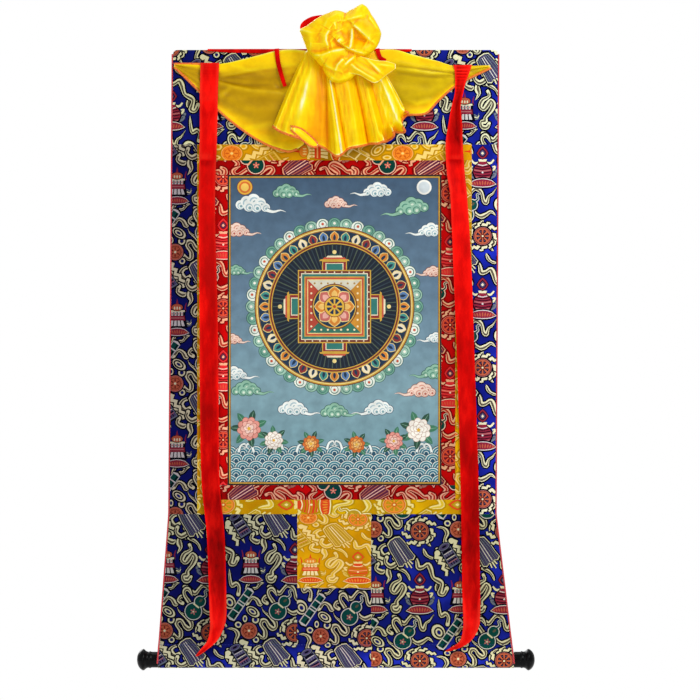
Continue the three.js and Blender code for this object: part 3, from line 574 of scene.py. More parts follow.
def drawBanner(shapes, cx, cy):
    for side in (-1, 1):  # leaves and uprights
        for k in range(3):
            line = placed(
                [(0, 0), (3.4, -0.6), (6.2, 1.2 - k), (7.6, -2.2)], cx + side * 6.6, cy + 5.2 + 2.3 * k, 0
            )
            line = [(cx + side * abs(x - cx), y) for x, y in line]
            line = curveThrough(line, 8)
            drawStroke(shapes, "dark", line, lambda t: 2.6 - 1.2 * t)
            drawStroke(shapes, "cream" if k == 1 else "grey", line, lambda t: 1.7 - 1.0 * t)
        post = [(cx + side * 8.4, cy - 5), (cx + side * 8.0, cy - 9), (cx + side * 9.2, cy - 13.6)]
        drawStroke(shapes, "red", curveThrough(post, 6), lambda t: 1.8 - 1.1 * t)
    body = [(-7.8, -6), (7.8, -6), (7.2, -1), (8.0, 3.6), (9.4, 10), (-9.4, 10), (-8.0, 3.6), (-7.2, -1)]
    drawShape(shapes, "dark", body, cx, cy, 0, 1.14)
    drawShape(shapes, "cream", slab(-7.6, -6.4, 7.6, -4.6), cx, cy)
    for k in range(4):
        x = -4.8 + 3.2 * k
        drawShape(
            shapes, "white", [(x - 1.1, -4.6), (x + 1.1, -4.6), (x + 1.0, -0.8), (x - 1.0, -0.8)], cx, cy
        )
        low = x * 1.25
        drawShape(
            shapes, "white", [(x - 1.1, 4.0), (x + 1.1, 4.0), (low + 1.5, 9.4), (low - 1.5, 9.4)], cx, cy
        )
        drawShape(shapes, "orange", oval(x, -2.8, 0.5, 1.1, sides=8), cx, cy)
    drawShape(shapes, "red", [(-7.4, -0.8), (7.4, -0.8), (8.0, 4.0), (-8.0, 4.0)], cx, cy)
    drawShape(shapes, "pink", [(-6.6, 0.9), (6.6, 0.9), (6.9, 2.0), (-6.9, 2.0)], cx, cy)
    drawShape(shapes, "dark", oval(0, -9.2, 6.4, 4.0, sides=18), cx, cy)
    drawShape(shapes, "orange", oval(0, -9.2, 5.6, 3.3, sides=18), cx, cy)
    for x in (-2.6, 0, 2.6):
        drawShape(shapes, "cream", oval(x, -8.4, 0.8, 1.6, sides=8), cx, cy)
    drawShape(shapes, "red", [(-1.3, -12.4), (0, -18.2), (1.3, -12.4)], cx, cy)
    drawLotusSeat(shapes, cx, cy + 15.2, 11.8, 3.4)


def drawVase(shapes, cx, cy):
    for side in (-1, 1):
        for y, reach, tone in [(6.4, 13.5, "grey"), (9.4, 12.6, "grey"), (2.6, 12.0, "cream")]:
            bend = [(7.5, 0), (reach - 1, 1.6), (reach + 0.6, 4.6), (reach - 2.2, 4.4)]
            line = curveThrough([(cx + side * x, cy + y - up) for x, up in bend], 9)
            drawStroke(shapes, "dark", line, lambda t: 3.4 - 1.2 * t)
            drawStroke(shapes, tone, line, lambda t: 2.5 - 1.1 * t)
        wing = curveThrough([(cx + side * x, cy - up) for x, up in [(3, 6), (8, 5.4), (11.4, 9)]], 7)
        drawStroke(shapes, "dark", wing, lambda t: 3.6 - 1.0 * t)
        drawStroke(shapes, "cream", wing, lambda t: 2.6 - 1.0 * t)
    halfWidths = [(-8, 3.6), (-5, 4.2), (-3, 6.6), (0, 8.6), (4, 9.2), (8, 7.6), (10.5, 5.2)]
    bulb = [(w, y) for y, w in halfWidths] + [(-w, y) for y, w in halfWidths[::-1]]
    drawShape(shapes, "dark", bulb, cx, cy, 0, 1.16)
    drawShape(shapes, "red", bulb, cx, cy)
    for y, tone in [
        (-4.2, "white"), (-2.6, "dark"), (-0.4, "dark"), (1.4, "pink"), (3.2, "dark"), (6.2, "dark"),
        (8.4, "pink"),
    ]:
        half = readTable(halfWidths, y)[0] - 0.4
        arch = [(cx - half, cy + y), (cx, cy + y + 1.1), (cx + half, cy + y)]
        drawStroke(shapes, tone, curveThrough(arch, 6), lambda t: 0.95)
    drawOval(shapes, "white", cx, cy + 3.8, 1.0, sides=8)
    drawShape(shapes, "cream", [(-4.4, -9.4), (4.4, -9.4), (3.6, -7.0), (-3.6, -7.0)], cx, cy)
    jewel = [
        (0, -22.6), (3.4, -19.4), (5.8, -15.4), (3.4, -11.6), (0, -9.6), (-3.4, -11.6), (-5.8, -15.4),
        (-3.4, -19.4),
    ]
    drawShape(shapes, "dark", [(x, y + 15.6) for x, y in jewel], cx, cy - 15.6, 0, 1.14)
    drawShape(shapes, "red", jewel, cx, cy)
    for tone, size in (("dark", 0.7), ("purple", 0.52), ("cream", 0.24)):
        drawShape(shapes, tone, [(x * size, (y + 15.6) * size - 15.4) for x, y in jewel], cx, cy)
    drawLotusSeat(shapes, cx, cy + 14.2, 13.6, 3.8)


def drawGourd(shapes, cx, cy):
    parts = [(-2.2, 4.6, 8.2), (4.4, -5.2, 5.3)]
    neck = curveThrough([(cx + x, cy - up) for x, up in [(6, 8), (10.4, 11), (9.4, 15.4), (12.4, 16.6)]], 9)
    for extra, tone, width in [(1.9, "dark", 5.0), (0.7, "white", 3.2), (-0.15, "green", 1.6)]:
        for x, y, r in parts:
            drawOval(shapes, tone, cx + x, cy + y, r + extra, sides=24)
        drawStroke(shapes, tone, neck, lambda t: width * (1 - 0.4 * t))
    belt = [(cx - 2, cy - 3.2), (cx + 3.4, cy + 1.2)]
    drawStroke(shapes, "cream", belt, lambda t: 1.6)
    for k in range(5):
        a = 72 * k
        drawOval(shapes, "pink", *aroundPoint(cx - 2.2, cy + 5, 2.0, a), 1.4, 0.8, a, 8)
    drawOval(shapes, "cream", cx - 2.2, cy + 5, 0.8, sides=8)
    drawOval(shapes, "core", cx + 5.2, cy - 6, 2.2, 1.2, -40, 10)


def drawStaff(shapes, cx, cy, turn):
    bar = [(-18, -4.4), (17, -4.0), (18.4, 0), (17, 4.0), (-18, 4.4), (-19.4, 0)]
    drawShape(shapes, "dark", bar, cx, cy, turn, 1.1)
    drawShape(shapes, "white", bar, cx, cy, turn)
    for x0, x1 in [(-17, -9.4), (-8.4, -1.6), (-0.4, 1.4), (2.4, 8.6), (9.8, 16)]:
        drawShape(shapes, "green", [(x0, -3.4), (x1, -3.3), (x1, 3.3), (x0, 3.4)], cx, cy, turn)
        drawShape(shapes, "dark", slab(x0 + 0.9, 1.1, x1 - 0.7, 2.5), cx, cy, turn)


def drawRepeat():
    shapes = []
    for row in ribbons:
        drawRibbon(shapes, *row)
    for row in loops:
        drawLoop(shapes, *row)
    drawStaff(shapes, -8, 104.5, -55)
    drawGourd(shapes, 31, 107.5)
    drawBox(shapes, -8, 27, -32)
    drawParasol(shapes, 27, 22.5, -33)
    drawBanner(shapes, 2, 64.5)
    drawVase(shapes, 46, 66)
    drawCoin(shapes, 0, 0)
    drawWheel(shapes, 46, 2)
    w, h = weave["width"], weave["height"]
    wrapped = []
    for tone, points in shapes:  # what runs over an edge of the repeat comes in again at the other edge
        low, high = boxOf(points)
        for i in range(floor(low[0] / w), floor(high[0] / w) + 1):
            for j in range(floor(low[1] / h), floor(high[1] / h) + 1):
                wrapped.append((tone, [(x - i * w, y - j * h) for x, y in points]))
    return planeSheet(wrapped, slab(0, 0, w, h), 9, 0.07)


def makeRepeatObject():
    verts, triangles, tones = drawRepeat()
    mesh = bpy.data.meshes.new("wovenRepeat")
    mesh.from_pydata([(x * weave["unit"], y * weave["unit"], 0) for x, y in verts], [], triangles)
    layer = mesh.attributes.new("yarn", "INT", "FACE")
    layer.data.foreach_set("value", [yarns.index(t) for t in tones])
    print("woven repeat:", len(triangles), "triangles")
    return linkObject("wovenRepeat", mesh)


def startTree(name, inputs, output):
    tree = bpy.data.node_groups.new(name, "GeometryNodeTree")
    for socket, kind in inputs.items():
        tree.interface.new_socket(socket, in_out="INPUT", socket_type="NodeSocket" + kind)
    tree.interface.new_socket(output, in_out="OUTPUT", socket_type="NodeSocketGeometry")
    return tree, addNode(tree, "NodeGroupInput").outputs


# Geometry Nodes: the repeat set out in rows and columns over one panel
def makeRepeatTree():
    inputs = {
        "Repeat": "Object", "Across": "Float", "Down": "Float", "Columns": "Int", "Rows": "Int",
        "Finish": "Material",
    }
    tree, source = startTree("repeatOverPanel", inputs, "Cloth")
    spans = []
    for pitch, count in (("Across", "Columns"), ("Down", "Rows")):
        gaps = addNode(tree, "ShaderNodeMath", {0: source[count], 1: 1.0}, operation="SUBTRACT")
        spans.append(addNode(tree, "ShaderNodeMath", {0: gaps, 1: source[pitch]}, operation="MULTIPLY"))
    grid = addNode(
        tree, "GeometryNodeMeshGrid",
        {
            "Size X": spans[0], "Size Y": spans[1], "Vertices X": source["Columns"],
            "Vertices Y": source["Rows"],
        }
    )
    info = addNode(tree, "GeometryNodeObjectInfo", {"Object": source["Repeat"]})
    laid = addNode(
        tree, "GeometryNodeInstanceOnPoints",
        {"Points": grid.outputs["Mesh"], "Instance": info.outputs["Geometry"]}
    )
    real = addNode(tree, "GeometryNodeRealizeInstances", {0: laid})
    whole = addNode(tree, "GeometryNodeMergeByDistance", {"Geometry": real, "Distance": 2e-3})
    finish = addNode(tree, "GeometryNodeSetMaterial", {"Geometry": whole, "Material": source["Finish"]})
    addNode(tree, "NodeGroupOutput", {0: finish})
    return tree


def runTree(name, tree, values):  # a plain mesh from a tree with its named inputs set
    carrier = linkObject(name, bpy.data.meshes.new(name))
    modifier = carrier.modifiers.new("make", "NODES")
    modifier.node_group = tree
    for item in tree.interface.items_tree:
        if item.in_out == "INPUT" and item.name in values:
            modifier[item.identifier] = values[item.name]
    bpy.context.view_layer.update()
    graph = bpy.context.evaluated_depsgraph_get()
    mesh = bpy.data.meshes.new_from_object(
        carrier.evaluated_get(graph), preserve_all_data_layers=True, depsgraph=graph
    )
    carrier.modifiers.clear()
    bpy.data.objects.remove(carrier)
    return mesh


# Materials

# silk-faced brocade: a satin ground with a soft broad sheen painted into its colour, in patches, lighter to
# the right and along the roller's front, and matt coloured wefts floating on it
def brocadeFinish(name, middle, dark):
    material, tree = startFinish(name)
    yarn = addNode(tree, "ShaderNodeAttribute", attribute_name="yarnColour")
    place = addNode(tree, "ShaderNodeTexCoord").outputs["Object"]
    # painted sheen: broad patches of lighter and darker satin
    cloudy = addNode(
        tree, "ShaderNodeTexNoise", {"Vector": place, "Scale": 13.0, "Detail": 3.0, "Roughness": 0.55}
    )
    parts = addNode(tree, "ShaderNodeSeparateXYZ", {0: place})
    # painted light: the satin is lighter towards the right and darker towards the left
    lean = addNode(
        tree, "ShaderNodeMapRange",
        {"Value": parts.outputs["X"], "From Min": -0.25, "From Max": 0.25, "To Min": -0.12, "To Max": 0.12}
    )
    # painted highlight along the roller's front, where the cloth is drawn tight round it
    low = addNode(
        tree, "ShaderNodeMapRange",
        {"Value": parts.outputs["Z"], "From Min": -0.858, "From Max": -0.884, "To Min": 0.0, "To Max": 0.3}
    )
    both = addNode(tree, "ShaderNodeMath", {0: lean, 1: low}, operation="ADD")
    shade = addNode(tree, "ShaderNodeMath", {0: cloudy, 1: both}, operation="ADD")
    # the painted sheen, light and shade, running from the dark grey through the middle grey to white,
    # multiply the satin ground's colour
    tone = addNode(
        tree, "ShaderNodeValToRGB", {"Fac": shade}, [(0.36, dark), (0.58, middle), (0.92, "ffffff")]
    )
    satin = addNode(
        tree, "ShaderNodeMix", {0: 1.0, 6: yarn, 7: tone}, data_type="RGBA", blend_type="MULTIPLY"
    )
    # weft ribs drawn at 1.1 mm, about four times their real spacing, so that they show
    ribs = addNode(
        tree, "ShaderNodeTexWave",
        {"Vector": place, "Scale": waveUnit / 0.0011, "Distortion": 0.6, "Detail": 1.0}, wave_type="BANDS",
        bands_direction="Z"
    )
    twill = addNode(
        tree, "ShaderNodeTexWave", {"Vector": place, "Scale": waveUnit / 0.0009, "Distortion": 0.3},
        wave_type="BANDS", bands_direction="DIAGONAL"
    )
    floats = addNode(
        tree, "ShaderNodeMix", {0: 0.22, 6: yarn, 7: ribs}, data_type="RGBA", blend_type="MULTIPLY"
    )
    colour = addNode(tree, "ShaderNodeMix", {0: yarn.outputs["Alpha"], 6: satin, 7: floats}, data_type="RGBA")
    grain = addNode(
        tree, "ShaderNodeMix", {0: yarn.outputs["Alpha"], 2: twill.outputs["Fac"], 3: ribs.outputs["Fac"]},
        data_type="FLOAT"
    )
    rough = addNode(tree, "ShaderNodeMix", {0: yarn.outputs["Alpha"], 2: 0.42, 3: 0.68}, data_type="FLOAT")
    relief = addNode(tree, "ShaderNodeBump", {"Height": grain, "Strength": 0.35, "Distance": 0.0002})
    setInputs(
        tree, tree.nodes["Principled BSDF"],
        {"Base Color": colour, "Roughness": rough, "Normal": relief, "Specular IOR Level": 0.03}
    )
    return material


# each finish's two greys are the middle and the dark ends of its painted sheen
brocade = {
    "blue": {
        "slot": "blue_brocade", "finish": brocadeFinish("blueSilkBrocade", "929298", "606070"),
        "colours": {
            "ground": "2230b6", "dark": "03030f", "cream": "d8cc9c", "core": "564b38", "orange": "b05436",
            "rust": "6b2217", "purple": "4a3e5c", "red": "84202f", "white": "cabfae", "green": "064036",
            "pink": "a8625a", "grey": "666a70",
        },
    },
    "red": {
        "slot": "red_brocade", "finish": brocadeFinish("redSilkBrocade", "dcb4b4", "b47878"),
        "colours": {
            "ground": "d2070a", "dark": "7a0305", "cream": "eab890", "core": "b03a2a", "orange": "d4543c",
            "rust": "7c1010", "purple": "58304f", "red": "d63034", "white": "f0d4bc", "green": "0b443c",
            "pink": "e08672", "grey": "a87060",
        },
    },
    "gold": {
        "slot": "gold_brocade", "finish": brocadeFinish("goldSilkBrocade", "ecd8b0", "c8a86c"),
        "colours": {
            "ground": "e4b408", "dark": "b88604", "cream": "f0d084", "core": "deb030", "orange": "ea862a",
            "rust": "cc5c1a", "purple": "c09428", "red": "de431c", "white": "f4dea4", "green": "ba8c20",
            "pink": "f0aa68", "grey": "deb650",
        },
    },
}
print("materials for the brocades made")


repeatObject = makeRepeatObject()
repeatTree = makeRepeatTree()


# Brocade panels: the repeat is set out, cut to the panel, and laid on the hanging cloth

borders = {
    "gold": {"half": 199, "top": 23, "bottom": 21, "side": 24, "stretch": (1, 1.3)},
    "red": {"half": 175, "top": 21, "bottom": 21, "side": 20, "stretch": (1, 1)},
}
door = {"left": -54, "right": 53, "drop": 107, "stretch": (1.08, 0.78), "tuck": 0.3}
hem = {"depth": 14, "left": -227, "right": 230, "off": 0.1}
# each cut: where a coin of the repeat lies, and the painted light and shade of its silk there, as gains on
# red, green and blue at its left and at its right end
cuts = {
    "top": ((186, 184.5), (0.95, 1.05, 1.1), (1.3, 1.5, 1.8)),
    "hem": ((-160, -14), (0.95, 1.05, 1.1), (1.3, 1.5, 1.8)),
    "left": ((-231, 293), (0.56, 0.56, 0.74), (0.62, 0.62, 0.8)),
    "right": ((148, 267), (1.3, 1.42, 1.75), (1.4, 1.5, 1.85)),
    "lowLeft": ((-124, 842), (0.62, 0.68, 0.8), (0.7, 0.76, 0.9)),
    "lowCentre": ((-20, 850), (0.8, 0.82, 1.0), (0.84, 0.86, 1.05)),
    "lowRight": ((57, 695), (0.84, 0.9, 0.95), (0.94, 1.0, 1.05)),
    "door": ((-38, 678), (1, 1, 1), (1, 1, 1)),
    "goldTop": ((-149, 150), (1.06, 0.98, 0.7), (1.16, 1.16, 0.85)),
    "goldBottom": ((-165, 726), (0.94, 1.1, 1.1), (0.98, 1.12, 1.1)),
    "goldLeft": ((-215, 230), (1.0, 1.0, 0.8), (1.0, 1.0, 0.8)),
    "goldRight": ((160, 250), (1.0, 1.0, 0.8), (1.0, 1.0, 0.8)),
    "redTop": ((-86, 209), (1.1, 0.85, 0.8), (1.1, 0.85, 0.8)),
    "redBottom": ((-165, 681), (0.86, 0.7, 0.78), (0.86, 0.7, 0.78)),
    "redLeft": ((-228, 181), (1.38, 1.1, 1.1), (1.38, 1.1, 1.1)),
    "redRight": ((101, 205), (0.86, 0.74, 0.66), (0.86, 0.74, 0.66)),
}
# levels down the cloth where it is drawn tight round the roller, and how much lighter its colours are painted
# there: a painted highlight along the roller's front
paintedRollerHighlight = {"from": 852, "to": 874, "shine": 0.4}


def cutTo(bm, place, away):  # takes off what lies on the side that away points to
    bmesh.ops.bisect_plane(
        bm, geom=bm.verts[:] + bm.edges[:] + bm.faces[:], dist=1e-5, plane_co=place, plane_no=away,
        clear_outer=True
    )


def wovenPanel(name, cloth, corners, coin, turned, wraps, stretch):
    # corners: the panel as x and w, clockwise from the top left; coin: where one coin lies
    plain = [weave["width"] * weave["unit"], weave["height"] * weave["unit"]]
    if turned:
        coin = (coin[0], coin[1] - plain[0])
    pitch = [plain[k] * stretch[k] for k in (0, 1)]
    reach = pitch[::-1] if turned else pitch
    low, high = boxOf(corners)
    first = [floor((low[k] - coin[k]) / reach[k]) for k in (0, 1)]
    count = [ceil((high[k] - coin[k]) / reach[k]) - first[k] for k in (0, 1)]
    start = [coin[k] + first[k] * reach[k] for k in (0, 1)]
    columns, rows = count[::-1] if turned else count
    layout = {"Across": plain[0], "Down": plain[1], "Columns": columns, "Rows": rows}
    mesh = runTree(name, repeatTree, {"Repeat": repeatObject, "Finish": cloth["finish"], **layout})
    bm = bmesh.new()
    bm.from_mesh(mesh)
    bpy.data.meshes.remove(mesh)
    for v in bm.verts:  # the grid is made about its middle
        tx = (v.co.x + (columns - 1) * plain[0] / 2) * stretch[0]
        ty = (v.co.y + (rows - 1) * plain[1] / 2) * stretch[1]
        across, down = (ty, columns * pitch[0] - tx) if turned else (tx, ty)
        v.co = Vector((start[0] + across, start[1] + down, 0))
    for (x0, w0), (x1, w1) in zip(corners, corners[1:] + corners[:1]):
        cutTo(bm, Vector((x0, w0, 0)), Vector((w1 - w0, x0 - x1, 0)))
    if wraps:  # enough rows of faces to go round the roller
        bmesh.ops.triangulate(bm, faces=bm.faces[:])
        for level in sleeveLevels():
            faces = [
                f for f in bm.faces if min(v.co.y for v in f.verts) < level < max(v.co.y for v in f.verts)
            ]
            near = {g for f in faces for g in (f, *f.verts, *f.edges)}
            bmesh.ops.bisect_plane(bm, geom=list(near), dist=1e-5, plane_co=(0, level, 0), plane_no=(0, 1, 0))
    bmesh.ops.triangulate(bm, faces=bm.faces[:])
    return bm


def splitLoops(edges):  # simple closed loops from a set of directed edges
    after, loops, path = {}, [], []
    for a, b in edges:
        after.setdefault(a, []).append(b)
    while after:
        if not path or path[-1] not in after:
            path = [next(iter(after))]
        b = after[path[-1]].pop()
        if not after[path[-1]]:
            del after[path[-1]]
        if b in path:
            k = path.index(b)
            loops.append(path[k:])
            path = path[:k + 1]
        else:
            path.append(b)
    return sorted(loops, key=len)


def closedSheet(name, flatVerts, flatFaces, tones, placeAt, half, material, levels=()):
    # a flat drawing laid on the cloth, with a rim and a plain back of larger faces
    uses = {(a, b) for ids in flatFaces for a, b in zip(ids, ids[1:] + ids[:1])}
    *slits, edge = splitLoops(sorted((a, b) for a, b in uses if (b, a) not in uses))
    flatFaces = flatFaces + [loop[::-1] for loop in slits]  # slits have no width, and are closed
    tones = tones + [tones[0]] * len(slits)
    rim = list(zip(edge, edge[1:] + edge[:1]))
    number = {i: k for k, i in enumerate(edge)}
    low, high = boxOf(flatVerts)
    finder = BVHTree.FromPolygons([(x, w, 0) for x, w in flatVerts], flatFaces)
    covers = lambda x, w: finder.ray_cast(Vector((x, w, 1)), Vector((0, 0, -1)))[2] is not None
    counts = [max(1, round((high[k] - low[k]) / 16)) for k in (0, 1)]
    rows = [lerp(low[1], high[1], j / counts[1]) for j in range(1, counts[1])]
    rows = [w for w in rows if not levels or w < levels[0] - 6] + list(levels)
    inner = [(lerp(low[0], high[0], i / counts[0]), w) for i in range(1, counts[0]) for w in rows]
    inner = [
        p for p in inner if all(covers(p[0] + dx, p[1] + dw) for dx, dw in ((-2, 0), (2, 0), (0, -1), (0, 1)))
    ]
    coords = [flatVerts[i] for i in edge] + inner
    _, _, pieces, origins, _, _ = delaunay_2d_cdt(
        [Vector(p) for p in coords], [], [list(range(len(edge)))], 1, 1e-7
    )
    front, back = [], []
    for x, w in flatVerts:
        at, out = placeAt(x, w)
        front.append(at + out * half)
    for x, w in coords:
        at, out = placeAt(x, w)
        back.append(at - out * half)
    n = len(front)
    faces, shades = [list(ids) for ids in flatFaces], list(tones)
    for ids in pieces:
        faces.append([origins[i][0] + n for i in ids[::-1]])
        shades.append(None)
    for a, b in rim:
        faces.append([b, a, number[a] + n, number[b] + n])
        shades.append(None)
    obj = outward(makeObject(name, front + back, faces, material, 0))
    obj.data.set_sharp_from_angle(angle=radians(50))
    return obj, shades


# Seam allowances: the cut edges behind each seam, pressed open
allowance = {"wide": 8.0, "thick": 0.5, "off": 0.1, "step": 6.0, "tone": 0.78}


def allowanceRows():  # cloth, the seam's two ends, and the way its cut edge lies
    top, low = -scroll["topSeam"], -scroll["lowSeam"]
    drop, foot = low + door["drop"], -sleeve["z"] - sleeve["stitch"] - 4
    clear = allowance["wide"] * 1.2  # keeps the upright ones off those that run across
    rows = []

    def seamRound(kind, half, start, end, away):
        inset = clear if away < 0 else 0
        rows.append((kind, (-half, start), (half, start), (0, -away)))
        for side in (-1, 1):
            rows.append((kind, (side * half, start + inset), (side * half, end - inset), (side * away, 0)))
        if kind != "blue":  # the door is sewn to the middle of the lowest seam
            rows.append((kind, (-half, end), (half, end), (0, away)))

    gold, red = borders["gold"], borders["red"]
    seamRound("blue", gold["half"], top, low, 1)
    seamRound("gold", gold["half"], top, low, -1)
    w0, w1 = top + gold["top"], low - gold["bottom"]
    seamRound("gold", red["half"], w0, w1, 1)
    seamRound("red", red["half"], w0, w1, -1)
    seamRound("red", red["half"] - red["side"], w0 + red["top"], w1 - red["bottom"], 1)
    left, right = door["left"], door["right"]
    rows.append(("blue", (-gold["half"], low), (left, low), (0, 1)))
    rows.append(("blue", (right, low), (gold["half"], low), (0, 1)))
    rows.append(("gold", (left, drop), (right, drop), (0, -1)))
    rows.append(("blue", (left, drop), (right, drop), (0, 1)))
    for x, way in ((left, -1), (right, 1)):
        rows.append(("gold", (x, low), (x, drop - clear), (-way, 0)))
        rows.append(("blue", (x, low + clear), (x, foot), (way, 0)))
        rows.append(("blue", (x, drop + clear), (x, foot), (-way, 0)))
    return rows


def makeAllowances():
    parts = {kind: ([], []) for kind in ("blue", "gold", "red")}
    for number, (kind, start, end, way) in enumerate(allowanceRows()):
        run = hypot(end[0] - start[0], end[1] - start[1])

        def surface(u, v):
            fray = 1 + 0.16 * noise.noise(Vector((u * run / 14, number * 3.7, 0)))
            x, w = (lerp(start[k], end[k], u) + way[k] * v * allowance["wide"] * fray for k in (0, 1))
            at, out = clothPlace(x, w)
            return at - out * (scroll["cloth"] / 2 + allowance["off"] + allowance["thick"] / 2)

        points, faces = sheetParts(surface, max(2, round(run / allowance["step"])), 2, allowance["thick"])
        shift = len(parts[kind][0])
        parts[kind][0].extend(points)
        parts[kind][1].extend([k + shift for k in face] for face in faces)
    backs = {}
    panelOf = {"blue": "groundTopCloth", "gold": "goldTopCloth", "red": "redTopCloth"}  # each cloth's seam backs, kept under a panel of that cloth
    for kind, (points, faces) in parts.items():
        obj = outward(makeObject("seamBacks" + kind.capitalize(), points, faces, brocade[kind]["finish"]))
        colour = [c * allowance["tone"] for c in hexColour(brocade[kind]["colours"]["ground"])[:3]] + [0.0]
        layer = obj.data.attributes.new("yarnColour", "FLOAT_COLOR", "FACE")
        layer.data.foreach_set("color", colour * len(obj.data.polygons))
        setPiece(obj, brocade[kind]["slot"])
        backs[panelOf[kind]] = [obj]
    print("seam allowances pressed open behind")
    return backs


seamBacks = makeAllowances()


def layPanel(
    name, kind, node, piece, corners, flat,
    turned=False, wraps=False, pull=None, shift=0.0, stretch=(1, 1),
):
    cloth = brocade[kind]
    coin, leftPaintedLight, rightPaintedLight = cuts[piece]
    bm = wovenPanel(name, cloth, corners, coin, turned, wraps, stretch)
    layer = bm.faces.layers.int.get("yarn")
    bm.verts.index_update()
    verts = [(v.co.x, v.co.y) for v in bm.verts]
    faces = [[v.index for v in f.verts] for f in bm.faces]
    tones = [f[layer] for f in bm.faces]
    bm.free()

    def placeAt(x, w):
        at, out = clothPlace(pull(x, w) if pull else x, w)
        return at + Vector((0, shift, 0)), out

    levels = sleeveLevels() if wraps else ()
    obj, shades = closedSheet(
        name, verts, faces, tones, placeAt, scroll["cloth"] / 2, cloth["finish"], levels
    )
    table = [hexColour(cloth["colours"][y], 0.0 if y == "ground" else 1.0) for y in yarns]
    colours = obj.data.attributes.new("yarnColour", "FLOAT_COLOR", "FACE")
    ends = [min(v[0] for v in verts), max(v[0] for v in verts)]
    values = []
    for tone, face in zip(shades, obj.data.polygons):
        # painted highlight where the cloth runs tight round the roller's front
        drawn = smooth(paintedRollerHighlight["from"], paintedRollerHighlight["to"], -face.center.z / mm) if wraps and tone else 0
        share = clamp((face.center.x / mm - ends[0]) / (ends[1] - ends[0]))
        # painted light and shade across the panel, from its cut's left end to its right, times the painted
        # highlight round the roller
        paintedLightGains = [(1 + paintedRollerHighlight["shine"] * drawn) * lerp(a, b, share) for a, b in zip(leftPaintedLight, rightPaintedLight)]
        values += [c * k for c, k in zip(table[tone or 0], paintedLightGains)] + [table[tone or 0][3]]
    colours.data.foreach_set("color", values)
    setPiece(obj, cloth["slot"], *([node] if node else []))
    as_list(seamBacks.get(name, []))


def makePanels():
    top, low, end = -scroll["topSeam"], -scroll["lowSeam"], sleeveEnd()
    gold = borders["gold"]

    def block(x0, x1, w0, w1):
        return slab(x0 + ease, w0 + ease, x1 - ease, w1 - ease)

    def slant(w, side):  # side edge below the low seam, carried on straight past the stitches
        near, far = scroll["outline"][1], scroll["outline"][2]
        return lerp(near[side], far[side], (w + near[0]) / (near[0] - far[0]))

    def pulledIn(inner, side):  # past the stitches the sides follow the sleeve's own level
        def pull(x, w):
            if w <= -sleeve["z"] - sleeve["stitch"]:
                return x
            edge = sideEdges(clothPlace(0, w)[0].z)[side - 1]
            return inner + (x - inner) * (edge - inner) / (slant(w, side) - inner)
        return pull

    r = scroll["corner"]
    arc = [(r - r * cos(radians(a)), r - r * sin(radians(a))) for a in (0, 30, 60, 90)]
    left, right = scroll["outline"][0][1:]
    upper, lower = sideEdges(-top), sideEdges(-low)
    topShape = [(left + x, w) for x, w in arc] + [(right - x, w) for x, w in arc[::-1]]
    topShape += [(upper[1], top - ease), (upper[0], top - ease)]
    layPanel("groundTopCloth", "blue", "ground_top", "top", topShape, (471, 137))
    hemShape = block(hem["left"], hem["right"], hem["off"], hem["depth"])
    layPanel("topHemCloth", "blue", None, "hem", hemShape, (457, 14), shift=scroll["cloth"] + hem["off"])
    x0, x1, w0, w1 = -gold["half"] - ease, gold["half"] + ease, top + ease, low - ease
    layPanel(
        "groundLeftCloth", "blue", "ground_left", "left",
        [(upper[0], w0), (x0, w0), (x0, w1), (lower[0], w1)], (40, 536)
    )
    layPanel(
        "groundRightCloth", "blue", "ground_right", "right",
        [(x1, w0), (upper[1], w0), (lower[1], w1), (x1, w1)], (37, 536)
    )
    w0, w1 = top, low
    for kind, rows in borders.items():
        h, s, t, b = rows["half"], rows["side"], w0 + rows["top"], w1 - rows["bottom"]
        for side, shape, flat in [
            ("Top", block(-h, h, w0, t), (2 * h, rows["top"])),
            ("Bottom", block(-h, h, b, w1), (2 * h, rows["bottom"])),
        ]:
            layPanel(
                kind + side + "Cloth", kind, kind + "_" + side.lower(), kind + side, shape, flat, turned=True,
                stretch=rows["stretch"]
            )
        for side, shape in [("Left", block(-h, -h + s, t, b)), ("Right", block(h - s, h, t, b))]:
            layPanel(
                kind + side + "Cloth", kind, kind + "_" + side.lower(), kind + side, shape, (s, b - t),
            )
        w0, w1 = t, b
    drop, x0, x1, w0 = low + door["drop"], door["left"] - ease, door["right"] + ease, low + ease
    doorShape = block(door["left"], door["right"], low, drop)
    layPanel(
        "doorCloth", "gold", "door", "door", doorShape, (107, 107), stretch=door["stretch"]
    )
    leftShape = [(slant(low, 1), w0), (x0, w0), (x0, end), (slant(end, 1), end)]
    layPanel(
        "groundBottomLeftCloth", "blue", "ground_bottom_left", "lowLeft", leftShape, (195, end - low),
        wraps=True, pull=pulledIn(door["left"], 1)
    )
    rightShape = [(x1, w0), (slant(low, 2), w0), (slant(end, 2), end), (x1, end)]
    layPanel(
        "groundBottomRightCloth", "blue", "ground_bottom_right", "lowRight", rightShape, (195, end - low),
        wraps=True, pull=pulledIn(door["right"], 2)
    )
    centreShape = block(door["left"] - door["tuck"], door["right"] + door["tuck"], drop, end + ease)
    layPanel(
        "groundBottomCentreCloth", "blue", "ground_bottom_centre", "lowCentre", centreShape,
        (107, end - drop), wraps=True
    )
    print("brocade panels laid")


makePanels()
bpy.data.objects.remove(repeatObject)


# Painted canvas: a circle of rings and petals about a wheel, with clouds above and waves and flowers below

picture = {"half": 155, "top": 181, "bottom": 631, "middle": (0, 372), "reach": 126}
paints = {  # those that come often; the others are given by their colour
    "gold": "d2a63c", "maroon": "6b2320", "paleGold": "f0d78a", "cream": "efe0bd", "navy": "14304a",
    "coral": "c9573a", "brightGold": "e2b23c",
}


